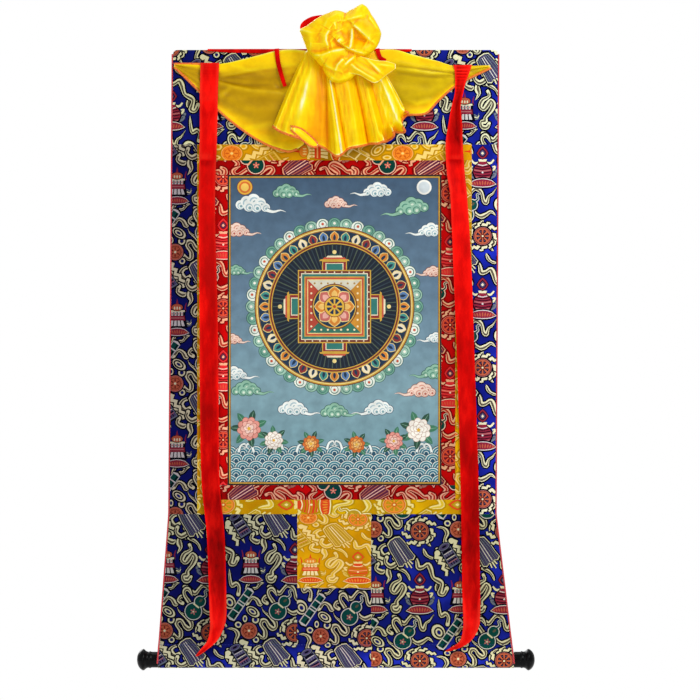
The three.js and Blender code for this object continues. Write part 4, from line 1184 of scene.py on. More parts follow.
# distemper on sized cotton: matt, with the canvas weave just showing through
def canvasFinish():
    material, tree = startFinish("distemperOnCotton")
    paint = addNode(tree, "ShaderNodeAttribute", attribute_name="paintColour")
    place = addNode(tree, "ShaderNodeTexCoord").outputs["Object"]
    parts = addNode(tree, "ShaderNodeSeparateXYZ", {0: place})
    level = addNode(
        tree, "ShaderNodeMapRange",
        {"Value": parts.outputs["Z"], "From Min": -picture["bottom"] * mm, "From Max": -picture["top"] * mm}
    )
    sky = addNode(
        tree, "ShaderNodeValToRGB", {"Fac": level},
        [(0.0, "6f96a0"), (0.3, "7fa2ad"), (0.62, "637f95"), (1.0, "3c5670")]
    )
    laid = addNode(tree, "ShaderNodeMix", {0: paint.outputs["Alpha"], 6: sky, 7: paint}, data_type="RGBA")
    wash = addNode(tree, "ShaderNodeTexNoise", {"Vector": place, "Scale": 60.0, "Detail": 4.0})
    uneven = addNode(tree, "ShaderNodeValToRGB", {"Fac": wash}, [(0.3, "d6d6d6"), (0.7, "ffffff")])
    colour = addNode(
        tree, "ShaderNodeMix", {0: 0.8, 6: laid, 7: uneven}, data_type="RGBA", blend_type="MULTIPLY"
    )
    # canvas threads drawn at 1.2 mm, about twice their real spacing
    warp = addNode(
        tree, "ShaderNodeTexWave", {"Vector": place, "Scale": waveUnit / 0.0012, "Distortion": 0.4},
        bands_direction="X"
    )
    weft = addNode(
        tree, "ShaderNodeTexWave", {"Vector": place, "Scale": waveUnit / 0.0012, "Distortion": 0.4},
        bands_direction="Z"
    )
    threads = addNode(
        tree, "ShaderNodeMath", {0: warp.outputs["Fac"], 1: weft.outputs["Fac"]}, operation="MULTIPLY"
    )
    relief = addNode(tree, "ShaderNodeBump", {"Height": threads, "Strength": 0.2, "Distance": 0.0002})
    setInputs(
        tree, tree.nodes["Principled BSDF"],
        {"Base Color": colour, "Roughness": 0.72, "Normal": relief, "Specular IOR Level": 0.3}
    )
    return material


def petal(cx, cy, r0, r1, width, degrees):  # a pointed petal that stands out from a circle
    half = [(r0, 0.32), (lerp(r0, r1, 0.35), 0.5), (lerp(r0, r1, 0.65), 0.42), (lerp(r0, r1, 0.88), 0.18)]
    ring = [(r, k * width) for r, k in half] + [(r1, 0)] + [(r, -k * width) for r, k in half[::-1]]
    return placed(ring, cx, cy, degrees)


def paintCloud(shapes, cx, cy, size, tones, turn=0.0, flip=1):
    puffs = [
        (-2.2, 0.3, 0.8), (-1.2, -0.35, 1.0), (0, -0.7, 1.15), (1.2, -0.3, 1.0), (2.2, 0.3, 0.75),
        (0.6, 0.35, 0.95), (-0.7, 0.4, 0.9),
    ]
    spots = [(*placed([(flip * x * size, y * size)], cx, cy, turn)[0], r * size) for x, y, r in puffs]
    for x, y, r in spots:
        drawOval(shapes, tones[0], x, y, r + 0.9, sides=20)
    for x, y, r in spots:
        drawOval(shapes, tones[1], x, y, r, sides=20)
        drawOval(shapes, tones[2], x + 0.1 * r, y + 0.2 * r, r * 0.72, sides=18)
        drawOval(shapes, tones[1], x + 0.16 * r, y + 0.24 * r, r * 0.54, sides=16)
        drawOval(shapes, tones[3], x + 0.2 * r, y + 0.3 * r, r * 0.3, sides=12)
    tail = [(flip * x * size, y * size) for x, y in [(2.4, 0.7), (3.6, 0.9), (4.8, 0.5), (5.8, 0.7)]]
    line = curveThrough(placed(tail, cx, cy, turn), 9)
    drawStroke(shapes, tones[0], line, lambda t: size * 0.85 * (1 - t) + 0.4)
    drawStroke(shapes, tones[1], line, lambda t: size * 0.6 * (1 - t) + 0.2)


def paintPeony(shapes, cx, cy, r, tones, turn):
    for k in range(7):
        a = turn + 51.4 * k + 20
        shapes.append(("27503f" if k % 2 else "3d7a5c", petal(cx, cy, r * 0.7, r * 1.75, r * 0.62, a)))
        line = [aroundPoint(cx, cy, r * 0.8, a), aroundPoint(cx, cy, r * 1.6, a)]
        drawStroke(shapes, "8fc0a0", line, lambda t: 0.8 - 0.5 * t)
    for ring, (reach, count, size) in enumerate([(0.66, 9, 0.44), (0.42, 7, 0.38), (0.2, 5, 0.3)]):
        for k in range(count):
            spin = turn + 360 / count * k + 17 * ring
            x, y = aroundPoint(cx, cy, r * reach, spin)
            drawOval(shapes, tones[3], x, y, r * size, r * size * 0.82, spin, 14)
            drawOval(shapes, tones[ring], x, y, r * size - 0.55, r * size * 0.82 - 0.55, spin, 14)
            x, y = aroundPoint(cx, cy, r * (reach - 0.12), spin)
            drawOval(shapes, tones[3], x, y, r * size * 0.34, r * size * 0.18, spin, 10)
    drawOval(shapes, "e8b23a", cx, cy, r * 0.16, sides=10)


def paintWheel(shapes):
    cx, cy = picture["middle"]
    big = picture["reach"]
    for k in range(44):  # a rim of cloud heads in three tones
        a = 360 / 44 * k
        x, y = aroundPoint(cx, cy, big - 7, a)
        tone = ("6fa58f", "9cc3ae", "e9efe2")[k % 3]
        drawOval(shapes, "2f5a50", x, y, 10.2, sides=16)
        drawOval(shapes, tone, x, y, 9.3, sides=16)
        drawOval(shapes, "3f7468", *aroundPoint(cx, cy, big - 5.4, a), 6.0, sides=14)
        drawOval(shapes, tone, *aroundPoint(cx, cy, big - 5.8, a), 5.0, sides=14)
        heart = "coral" if k % 3 == 2 else "f3f1e2"
        drawOval(shapes, heart, *aroundPoint(cx, cy, big - 5.2, a), 2.0, sides=10)
    drawDiscs(
        shapes, cx, cy, 96,
        [
            ("maroon", big - 10), ("gold", big - 11.4), ("paleGold", big - 13.2), ("9a6a1e", big - 14.6),
            ("navy", big - 16),
        ]
    )
    band = big - 16
    for k in range(40):  # pointed petals of five colours
        tone = ("d9862f", "3c8f86", "cream", "8f2b2a", "5a7fb0")[k % 5]
        shapes.append(("paleGold", petal(cx, cy, band - 14.4, band - 0.6, 13.6, 9 * k)))
        shapes.append((tone, petal(cx, cy, band - 14, band - 1.6, 11.6, 9 * k)))
        shapes.append(("navy", petal(cx, cy, band - 13.6, band - 5, 4.2, 9 * k)))
    drawDiscs(
        shapes, cx, cy, 90,
        [("gold", band - 14), ("7a2a22", band - 15.6), ("gold", band - 18), ("101c2c", band - 19.4)]
    )
    inner = band - 19.4
    ray = [(inner * 0.46, -0.5), (inner - 1.4, -0.75), (inner - 1.4, 0.75), (inner * 0.46, 0.5)]
    for k in range(90):  # fine gold rays on the dark disc
        drawShape(shapes, "4b5a4a" if k % 2 else "2a3c46", ray, cx, cy, 4 * k)
    for k in range(4):  # gates of the square court
        a = 90 * k
        for half, out, tone in [
            (18, 66, "gold"), (16.6, 64.8, "8f2b2a"), (13, 63, "cream"), (11.6, 62, "2f7a70")
        ]:
            drawShape(shapes, tone, slab(40, -half, out, half), cx, cy, a)
        for step, tone in enumerate(["gold", "coral", "cream", "27503f"]):
            near, far, half = 66 + 2.6 * step, 68.6 + 2.6 * step, 22 - 5 * step
            roof = [(near, -half), (far, 2 - half), (far, half - 2), (near, half)]
            drawShape(shapes, tone, roof, cx, cy, a)
        drawOval(shapes, "paleGold", *aroundPoint(cx, cy, 79, a), 3.0, sides=12)
    for half, tone in [
        (53, "gold"), (51.4, "maroon"), (48.4, "cream"), (47, "2f7a70"), (43.6, "gold"), (42.2, "coral"),
        (39.4, "paleGold"),
    ]:
        shapes.append((tone, slab(cx - half, cy - half, cx + half, cy + half)))
    for k, tone in enumerate(["c98a2a", "2f6f5c", "b8452f", "d8d3bd"]):  # four quarters
        a = 90 * k
        shapes.append(
            (tone, [(cx, cy), placed([(38.2, -38.2)], cx, cy, a)[0], placed([(38.2, 38.2)], cx, cy, a)[0]])
        )
        for j in range(-3, 4):
            drawOval(
                shapes, "f3e4b8" if k != 3 else "a98240", *placed([(33.6, 9.6 * j)], cx, cy, a)[0], 1.5,
                sides=10
            )
        for j in range(-4, 5):
            drawOval(shapes, "cream", *placed([(49.8, 10.6 * j)], cx, cy, a)[0], 1.1, sides=8)
    drawDiscs(shapes, cx, cy, 60, [("maroon", 33), ("gold", 31.6), ("navy", 30)])
    for k in range(8):
        a = 45 * k
        shapes.append(("paleGold", petal(cx, cy, 13, 29.6, 19.4, a)))
        shapes.append((("d9862f", "c96a60")[k % 2], petal(cx, cy, 13.4, 28.4, 16.8, a)))
        shapes.append((("f3c46a", "eeb0a0")[k % 2], petal(cx, cy, 13.6, 24, 9, a)))
    drawDiscs(shapes, cx, cy, 40, [("maroon", 15.4), ("brightGold", 14.4), ("navy", 11.4)])
    for k in range(8):
        drawShape(shapes, "brightGold", [(2, -0.9), (11.8, -1.5), (11.8, 1.5), (2, 0.9)], cx, cy, 45 * k)
    drawOval(shapes, "brightGold", cx, cy, 4.4, sides=18)
    drawOval(shapes, "b8452f", cx, cy, 2.2, sides=12)


def paintWaves(shapes):
    bottom = picture["bottom"]
    for row in range(6):  # rows of wave scales, the nearer over the farther
        y = bottom - 46 + 10.4 * row
        for k in range(-9, 10):
            x = 19 * k + (9.5 if row % 2 else 0)
            for r, tone in [
                (12.4, "1d3d52"), (11.2, "e6eee6"), (10.0, "3e7f8e"), (7.4, "cfe0da"), (6.4, "2c6a80"),
                (3.8, "dfe9e0"), (2.8, "1f4f66"),
            ]:
                drawOval(shapes, tone, x, y, r, r * 0.94, sides=18)
    spray = [(11, 9), (8, 0), (2, -3), (0.6, 2.4), (4, 3.4)]
    for k, x in enumerate((-128, -86, -44, 0, 43, 88, 130)):  # spray thrown up from the crests
        y = bottom - 57 - (4 if k % 2 else 0)
        for side in (-1, 1):
            curl = curveThrough([(x + side * out, y + down) for out, down in spray], 12)
            drawStroke(shapes, "1d3d52", curl, lambda t: 5.2 - 3.2 * t)
            drawStroke(shapes, "e9f0ea", curl, lambda t: 3.6 - 2.4 * t)


cloudTones = {  # line, body, shade and heart
    "pale": ("37566a", "eef2ec", "a9c4cc", "7fa6ac"), "green": ("24564a", "8dbba2", "4f8a76", "d5e6d2"),
    "blush": ("7a4038", "f0d3c2", "d89a86", "b8604e"),
}
clouds = [  # middle, size, tones, turn, and which way the tail runs
    (-118, 224, 8.4, "pale", 6, 1), (112, 228, 8.0, "green", -8, -1), (-70, 206, 6.4, "green", 0, 1),
    (62, 204, 6.8, "pale", 0, -1), (-142, 262, 6.2, "blush", 0, 1), (140, 262, 6.4, "pale", 0, -1),
    (2, 222, 5.4, "blush", 0, 1), (-146, 470, 6.4, "pale", 0, 1), (146, 468, 6.6, "green", 0, -1),
    (-128, 492, 7.0, "green", 0, 1), (126, 494, 6.8, "blush", 0, -1), (-60, 520, 7.2, "pale", 4, 1),
    (64, 520, 7.0, "pale", -4, -1), (0, 524, 6.6, "green", 0, 1), (-143, 320, 4.6, "green", 0, 1),
    (143, 322, 4.8, "blush", 0, -1), (-148, 420, 4.6, "blush", 0, 1), (147, 418, 4.8, "pale", 0, -1),
]
flowerTones = {  # outer, middle and inner petals, and their line
    "rose": ("e7988a", "efb4a4", "f7d4c6", "9a3d36"), "white": ("f3ece0", "f7f2e6", "fbf6ea", "b38a78"),
    "orange": ("d9702a", "eaa04e", "f3c97e", "8a3a1c"),
}
flowers = [  # middle, size, tones, turn
    (-124, 549, 16, "rose", 8), (-88, 566, 12.5, "white", 40), (122, 551, 16.4, "white", 25),
    (86, 567, 12.5, "rose", 60), (-34, 571, 11.5, "orange", 15), (32, 572, 11.5, "orange", 30),
]
orbs = {  # the sun and the moon: middle, and their discs from the widest in
    "sun": ((-130, 199), [(13, "7a2a22"), (12, "e8b23a"), (9.4, "d9702a"), (6.4, "f0c65a")]),
    "moon": ((130, 199), [(13, "37566a"), (12, "f4f3ea"), (9.0, "d5dfe2")]),
}


def makePainting():
    shapes = []
    for middle, discs in orbs.values():
        drawDiscs(shapes, *middle, 30, [(tone, r * 0.9) for r, tone in discs])
    for x, y, size, kind, turn, flip in clouds:
        paintCloud(shapes, x, y, size, cloudTones[kind], turn, flip)
    paintWheel(shapes)
    paintWaves(shapes)
    for x, y, r, kind, turn in flowers:
        paintPeony(shapes, x, y, r, flowerTones[kind], turn)
    half, top, bottom = picture["half"] - ease, picture["top"] + ease, picture["bottom"] - ease
    # painted lines round the edge
    for inset, wide, tone in [(0, 2.4, "2a1c18"), (2.4, 1.6, "gold"), (4.0, 0.8, "maroon")]:
        x0, x1, y0, y1 = -half + inset, half - inset, top + inset, bottom - inset
        lines = [slab(x0, y0, x1, y0 + wide), slab(x0, y1 - wide, x1, y1)]
        lines += [slab(x0, y0, x0 + wide, y1), slab(x1 - wide, y0, x1, y1)]
        shapes += [(tone, line) for line in lines]
    verts, faces, tones = planeSheet(shapes, slab(-half, top, half, bottom), 22, 0.05)
    obj, shades = closedSheet(
        "paintedCanvas", verts, faces, tones, clothPlace, scroll["canvas"] / 2, canvasFinish()
    )
    colours = obj.data.attributes.new("paintColour", "FLOAT_COLOR", "FACE")
    bare = hexColour("d9cfb4")  # unpainted cotton on the back and the rim
    table = {
        t: hexColour(paints.get(t, t), 1.0) if t != "ground" else [0.2, 0.3, 0.4, 0.0] for t in set(tones)
    }
    colours.data.foreach_set("color", [c for t in shades for c in (bare if t is None else table[t])])
    setPiece(obj, "painted_canvas", "painting")
    print("canvas painted:", len(obj.data.polygons), "faces")


makePainting()


# Roller: dowel, two turned knobs, and the cord that pipes each side

# black lacquer on turned wood: deep and smooth, rubbed a little duller in patches
def lacquerFinish():
    material, tree = startFinish("blackLacquer")
    place = addNode(tree, "ShaderNodeTexCoord").outputs["Object"]
    rubbed = addNode(tree, "ShaderNodeTexNoise", {"Vector": place, "Scale": 220.0, "Detail": 3.0})
    tone = addNode(tree, "ShaderNodeValToRGB", {"Fac": rubbed}, [(0.3, "020203"), (0.75, "070709")])
    rough = addNode(tree, "ShaderNodeMapRange", {"Value": rubbed, "To Min": 0.18, "To Max": 0.34})
    setInputs(
        tree, tree.nodes["Principled BSDF"],
        {"Base Color": tone, "Roughness": rough, "Specular IOR Level": 0.1}
    )
    return material


# plain beech: pale brown, with rays along the grain
def dowelFinish():
    material, tree = startFinish("beechDowel")
    place = addNode(tree, "ShaderNodeTexCoord").outputs["Object"]
    along = addNode(tree, "ShaderNodeMapping", {"Vector": place, "Scale": (0.06, 1.0, 1.0)})
    grain = addNode(tree, "ShaderNodeTexNoise", {"Vector": along, "Scale": 700.0, "Detail": 4.0})
    tone = addNode(tree, "ShaderNodeValToRGB", {"Fac": grain}, [(0.3, "9a6f45"), (0.7, "c69a6a")])
    setInputs(tree, tree.nodes["Principled BSDF"], {"Base Color": tone, "Roughness": 0.6})
    return material


# cotton cord and sewing thread: matt and a little fuzzy, with fibres in two tones
def fibreFinish(name, low, high, scale=420.0, rough=0.65, sheen=0.0):
    material, tree = startFinish(name)
    place = addNode(tree, "ShaderNodeTexCoord").outputs["Object"]
    fibre = addNode(tree, "ShaderNodeTexNoise", {"Vector": place, "Scale": scale, "Detail": 2.0})
    tone = addNode(tree, "ShaderNodeValToRGB", {"Fac": fibre}, [(0.3, low), (0.7, high)])
    look = {"Base Color": tone, "Roughness": rough, "Sheen Weight": sheen}
    setInputs(tree, tree.nodes["Principled BSDF"], look)
    return material


knob = {
    "facets": 56, "gap": 0.3,
    # radius and distance along from the cloth, from the socket's floor round to the end
    "profile": [
        (0, 12.3), (10.5, 12.3), (10.5, 0.3), (10.8, 0), (11.2, 0), (11.5, 0.3), (11.5, 8.4), (11.7, 9.4),
        (12.3, 10.3), (12.4, 11), (12.2, 11.9), (11.8, 12.8), (11.75, 14), (12.1, 15.4), (12.7, 16.5),
        (13.6, 17.7), (14.7, 18.7), (15.3, 19.6), (15.6, 20.6), (15.6, 21.4), (15.3, 22.3), (14.5, 23.5),
        (13.3, 25), (11.5, 26.7), (9.2, 28.1), (6.4, 29.2), (3.4, 29.8), (0, 30),
    ],
}
piping = {"radius": 1.2, "gap": -0.1, "sides": 10, "step": 1.25, "pitch": 5.0, "ply": 0.16, "turn": (48, 112)}


def turnedKnob(name, start, way, node, material):
    points, faces, rows = [], [], []
    for r, along in knob["profile"]:
        x = start + way * along
        if r == 0:
            rows.append([len(points)])
            points.append((x, 0, sleeve["z"]))
        else:
            rows.append(range(len(points), len(points) + knob["facets"]))
            for k in range(knob["facets"]):
                a = 2 * pi * k / knob["facets"]
                points.append((x, r * cos(a), sleeve["z"] + r * sin(a)))
    for a, b in zip(rows, rows[1:]):
        for k in range(knob["facets"]):
            ring = [a[k % len(a)], a[(k + 1) % len(a)], b[(k + 1) % len(b)], b[k % len(b)]]
            faces.append(list(dict.fromkeys(ring)))
    return setPiece(outward(makeObject(name, points, faces, material, 34)), "black_lacquer", node)


def tubeFaces(rings, sides):  # from ring to ring of points, with a cap at each end
    faces, last = [], (rings - 1) * sides
    for i in range(0, last, sides):
        for k in range(sides):
            after = (k + 1) % sides
            faces.append([i + k, i + after, i + sides + after, i + sides + k])
    return faces + [list(range(sides))[::-1], list(range(last, last + sides))]


def cordParts(line, sides, across, radiusAt):  # a closed cord along a line of points
    points, run, last = [], 0.0, len(line) - 1
    for i, at in enumerate(line):
        ahead = (line[min(i + 1, last)] - line[max(i - 1, 0)]).normalized()
        run += (at - line[max(i - 1, 0)]).length
        u = (across - ahead * across.dot(ahead)).normalized()
        v = ahead.cross(u)
        for k in range(sides):
            a = 2 * pi * k / sides
            points.append(at + (u * cos(a) + v * sin(a)) * radiusAt(run, a))
    return points, tubeFaces(len(line), sides)


def pipedEdge(name, side, way, node, material):
    off = way * (piping["radius"] + piping["gap"])
    over = sleeve["radius"] + piping["radius"] + piping["gap"]
    stations = []
    z = -scroll["corner"]
    while z > sleeve["z"] + sleeve["stitch"] + 12:
        x = sideEdges(z)[side]
        stations.append(Vector((x + off, billowAt(x, z), z)))
        z -= 8
    for k in range(9):
        a = radians(lerp(piping["turn"][0], piping["turn"][1], k / 8))
        z = sleeve["z"] + over * cos(a)
        stations.append(Vector((sideEdges(z)[side] + off, -over * sin(a), z)))
    count = round(sum((b - a).length for a, b in zip(stations, stations[1:])) / piping["step"])
    line = [Vector(alongTable(stations, k / count)) for k in range(count + 1)]
    twist = lambda run, a: piping["radius"] * (
        1 - piping["ply"] * (0.5 + 0.5 * cos(2 * a - 4 * pi * run / piping["pitch"]))
    )
    points, faces = cordParts(line, piping["sides"], Vector((1, 0, 0)), twist)
    return setPiece(outward(makeObject(name, points, faces, material, 60)), "red_satin", node)


def makeRoller():
    left, right = scroll["outline"][2][1:]
    lacquer, cord = lacquerFinish(), fibreFinish("redCottonCord", "a00f1e", "d8303a", 900.0, 0.7, 0.2)
    turnedKnob("knobLeft", left - knob["gap"], -1, "knob_left", lacquer)
    turnedKnob("knobRight", right + knob["gap"], 1, "knob_right", lacquer)
    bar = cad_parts["dowel"]
    bar.data.materials.clear()
    bar.data.materials.append(dowelFinish())
    pipedEdge("pipingLeft", 0, -1, "piping_left", cord)
    pipedEdge("pipingRight", 1, 1, "piping_right", cord)
    print("roller, knobs and piping made")


makeRoller()


# Veil: two wings caught at the corners, a pleated skirt, the gathered rosette, its knot and a loose flap

wings = {
    "left": {
        # from the tip to the gather: x, and the levels of the two edges
        "rows": [
            (-232.5, -20.4, -24.4), (-210, -20.4, -46), (-168, -20.7, -87.5), (-137, -15, -113),
            (-108, -7.5, -132), (-83, -1.2, -143), (-60, 0.5, -146), (-36, -3, -124), (-10, -12, -48),
        ],
        # lengthwise folds: place between the edges, half width, height off the ground
        "folds": [(0.1, 0.13, 6), (0.42, 0.08, 2.6), (0.66, 0.17, 8), (0.98, 0.08, 3)],
        "mesh": (96, 60),  # faces along and across
        # creases: height, width on the left and on the right of the way they run, then x and z along them
        "creases": [
            (2.6, 8, 2, [(-167, -38), (-145, -35), (-110, -28), (-63, -23)]),
            (3.4, 2.2, 13, [(-172, -46), (-145, -54), (-119, -59), (-80, -61)]),
            (-2.2, 9, 3, [(-160, -46), (-130, -50), (-90, -52)]),
            (1.8, 4, 4, [(-168, -72), (-160, -62), (-150, -55)]),
            (2.2, 6, 5, [(-130, -114), (-110, -111), (-75, -103)]),
            (1.6, 5, 3, [(-222, -24), (-205, -30), (-195, -33)]),
            (2.0, 5, 3, [(-62, -40), (-70, -75), (-84, -118)]),
            (1.4, 4, 4, [(-150, -22), (-125, -30), (-104, -33)]),
            (-3.4, 8, 6, [(-84, -57), (-68, -49), (-54, -36)]),
        ],
    },
    "right": {
        "rows": [
            (226, -22.6, -26.4), (200, -23.4, -39), (174, -23.8, -53), (150, -16.6, -74), (133, -12, -91.5),
            (113, -7, -94), (84, 0.5, -93), (52, -3, -78), (12, -12, -44),
        ],
        "folds": [(0.2, 0.15, 9), (0.62, 0.2, 3.5), (0.97, 0.1, 4)],
        "mesh": (96, 52),
        "creases": [
            (3.4, 10, 1.6, [(84, -26), (112, -29), (140, -33), (174, -36)][::-1]),
            (-1.6, 3, 9, [(90, -33), (120, -37), (160, -40)][::-1]),
            (1.5, 5, 5, [(178, -27), (200, -28), (220, -25)]),
            (1.2, 3, 3, [(180, -33), (200, -34)]),
            (1.6, 6, 6, [(96, -70), (120, -78), (140, -72)]),
        ],
    },
    "swell": (0.06, 0.62, 0.8), "rise": (0.74, 13), "tape": (0.06, 0.2),
}


def creaseHeight(creases, x, z):  # soft troughs and ridges, each with a steep and an easy side
    total = 0.0
    for high, onLeft, onRight, points in creases:
        best, side, share = 1e9, 1, 0.0
        for i, ((x0, z0), (x1, z1)) in enumerate(zip(points, points[1:])):
            dx, dz = x1 - x0, z1 - z0
            t = clamp(((x - x0) * dx + (z - z0) * dz) / (dx * dx + dz * dz))
            gap = hypot(x - x0 - t * dx, z - z0 - t * dz)
            if gap < best:
                best, side, share = gap, dx * (z - z0) - dz * (x - x0), (i + t) / (len(points) - 1)
        wide = onLeft if side > 0 else onRight
        if best < 4 * wide:
            total += high * exp(-((best / wide) ** 1.6)) * (
                0.35 + 0.65 * sin(pi * clamp(share, 0.0, 1.0)) ** 0.6
            )
    return total


def wingFold(side, u, v, x, z):
    wing = wings[side]
    start, gain, power = wings["swell"]
    swell = sin(pi * min(1, start + gain * u)) ** power
    rise = wings["rise"][1] * smooth(wings["rise"][0], 1, u)
    folds = (1 - 0.75 * smooth(0.72, 0.95, u)) * sum(
        swell * high * exp(-(((v - at) / wide) ** 2)) for at, wide, high in wing["folds"]
    )
    fine = 0.5 * noise.noise(Vector((x / 26, z / 9, 3.0 if side == "left" else 9.0)))
    crease = (creaseHeight(wing["creases"], x, z) + fine) * smooth(0.0, 0.12, u) * (
        1 - 0.5 * smooth(0.8, 1, u)
    )
    return rise + max(folds + crease, 0.0)


def wingBase(u):
    onTape = (scroll["satin"] + scroll["gap"]) * smooth(*wings["tape"], u)
    return -scroll["cloth"] / 2 - scroll["gap"] - scroll["silk"] / 2 - 0.1 - onTape


def wingSurface(side, u, v):
    x, top, bottom = alongTable(wings[side]["rows"], u)
    z = lerp(top, bottom, v)
    return Vector((x, wingBase(u) - wingFold(side, u, v, x, z), z))


def wingDepth(side, x, z):
    rows = wings[side]["rows"]
    low, high, toRight = 0.0, 1.0, rows[0][0] < rows[-1][0]
    for _ in range(24):
        mid = (low + high) / 2
        if (alongTable(rows, mid)[0] < x) == toRight:
            low = mid
        else:
            high = mid
    _, top, bottom = alongTable(rows, low)
    v = clamp((z - top) / (bottom - top))
    return wingBase(low) - wingFold(side, low, v, x, z)


def laidOnWing(side, left, right, z):  # depth of a flat band that lies straight across the folds
    above = scroll["silk"] / 2 + scroll["gap"] + scroll["satin"] / 2 + 0.2
    steps = (-9, -4.5, 0, 4.5, 9)
    depths = {
        d: min(wingDepth(side, lerp(left, right, k), z + d) for k in (0, 0.5, 1))
        for d in {a + b for a in steps for b in steps}
    }
    return sum(min(depths[a + b] for b in steps) for a in steps) / len(steps) - above


skirt = {
    # from left to right, ridges and valleys in turn: x, y, z at the gather and at the hem
    "pleats": [
        (-42, -10, -4, -89, -13, -112), (-36, -18, 0, -84, -27, -116), (-27, -24, -3, -58, -37, -126),
        (-13, -25, -15, -14, -24, -144),
        (-12, -30, -28, 5, -39, -154), (-3, -28, -30, 19, -31, -146), (12, -31, -30, 34, -37, -140),
        (27, -26, -30, 49, -21, -138),
        (38, -27, -31, 64, -35, -136), (50, -20, -31, 79, -19, -128), (62, -22, -31, 98, -29, -116),
        (70, -14, -30, 103, -13, -88),
    ],
    # sharp lines in the pleats: place across from 0 to 1, height, width, where they start and end from the
    # gather to the hem
    "lines": [
        (0.03, 1.4, 0.012, 0.0, 1.0), (0.085, 2.5, 0.012, 0.0, 1.0), (0.115, -1.6, 0.014, 0.1, 1.0),
        (0.14, 1.6, 0.01, 0.2, 1.0), (0.16, -1.0, 0.01, 0.1, 0.8), (0.185, 2.6, 0.022, 0.1, 1.0),
        (0.235, -1.6, 0.02, 0.0, 1.0), (0.285, -4.6, 0.014, 0.0, 1.0), (0.315, 1.2, 0.01, 0.2, 1.0),
        (0.34, -1.0, 0.01, 0.3, 1.0), (0.372, 1.0, 0.01, 0.4, 1.0), (0.4, 4.6, 0.011, 0.05, 1.0),
        (0.44, -3.0, 0.013, 0.0, 1.0),
        (0.47, 1.0, 0.012, 0.3, 1.0), (0.52, -0.7, 0.01, 0.1, 0.7), (0.56, 1.1, 0.018, 0.2, 0.9),
        (0.6, -0.8, 0.01, 0.3, 1.0), (0.636, -3.4, 0.013, 0.0, 1.0), (0.672, 1.8, 0.012, 0.0, 0.9),
        (0.71, -1.6, 0.014, 0.1, 1.0), (0.745, 2.2, 0.014, 0.1, 1.0), (0.8, -2.2, 0.016, 0.0, 1.0),
        (0.84, 1.4, 0.014, 0.3, 1.0), (0.9, 2.6, 0.026, 0.0, 1.0), (0.945, -1.4, 0.012, 0.0, 0.9),
        (0.97, 2.0, 0.01, 0.1, 1.0),
    ],
    # painted highlights where the silk shines and painted shade where it lies deep: place across, width,
    # start and end down it, how much
    "shine": [
        (0.02, 0.03, 0.0, 1.0, 0.1), (0.18, 0.024, 0.3, 0.8, 0.34), (0.255, 0.036, 0.0, 0.95, -0.36),
        (0.285, 0.012, 0.0, 1.0, -0.25), (0.4, 0.012, 0.05, 1.0, 0.3), (0.38, 0.022, 0.72, 1.0, 0.22),
        (0.44, 0.013, 0.0, 1.0, -0.28), (0.53, 0.05, 0.0, 0.6, -0.14), (0.636, 0.015, 0.0, 1.0, -0.34),
        (0.7, 0.03, 0.0, 0.7, -0.1), (0.8, 0.018, 0.0, 0.7, -0.2), (0.89, 0.06, 0.1, 0.85, 0.36),
        (0.97, 0.02, 0.2, 1.0, 0.2),
    ],
    "belly": 4, "ruffle": (0.7, 0.8, 8.0, 84), "mesh": (220, 56),
}


def skirtSurface(u, v):
    neckX, neckY, neckZ, hemX, hemY, hemZ = alongTable(skirt["pleats"], u)
    lines = sum(
        high * exp(-abs((u - at) / wide) ** 1.3) * smooth(start - 0.08, start + 0.12, v) * (
            1 - smooth(end - 0.1, end + 0.1, v) * (end < 1)
        )
        for at, high, wide, start, end in skirt["lines"]
    )
    start, low, high, waves = skirt["ruffle"]
    ruffle = smooth(start, start + 0.1, u) * smooth(low, 1, v)
    x = lerp(neckX, hemX, v ** 0.92) + ruffle * 4.2 * sin(waves * u + 1)
    y = lerp(neckY, hemY, v) - skirt["belly"] * sin(pi * v)
    y -= lines * (0.45 + 0.55 * v)
    y -= ruffle * high * sin(waves * u)
    # small creases that run down
    y -= 0.45 * noise.noise(Vector((x / 4, v * 4, 5.0))) + 0.25 * noise.noise(Vector((x / 2.2, v * 9, 8.0)))
    z = lerp(neckZ, hemZ, v) + ruffle * 3.2 * cos(waves * 0.7 * u) + 1.3 * sin(31 * u) * v * v
    return Vector((x, y, z))


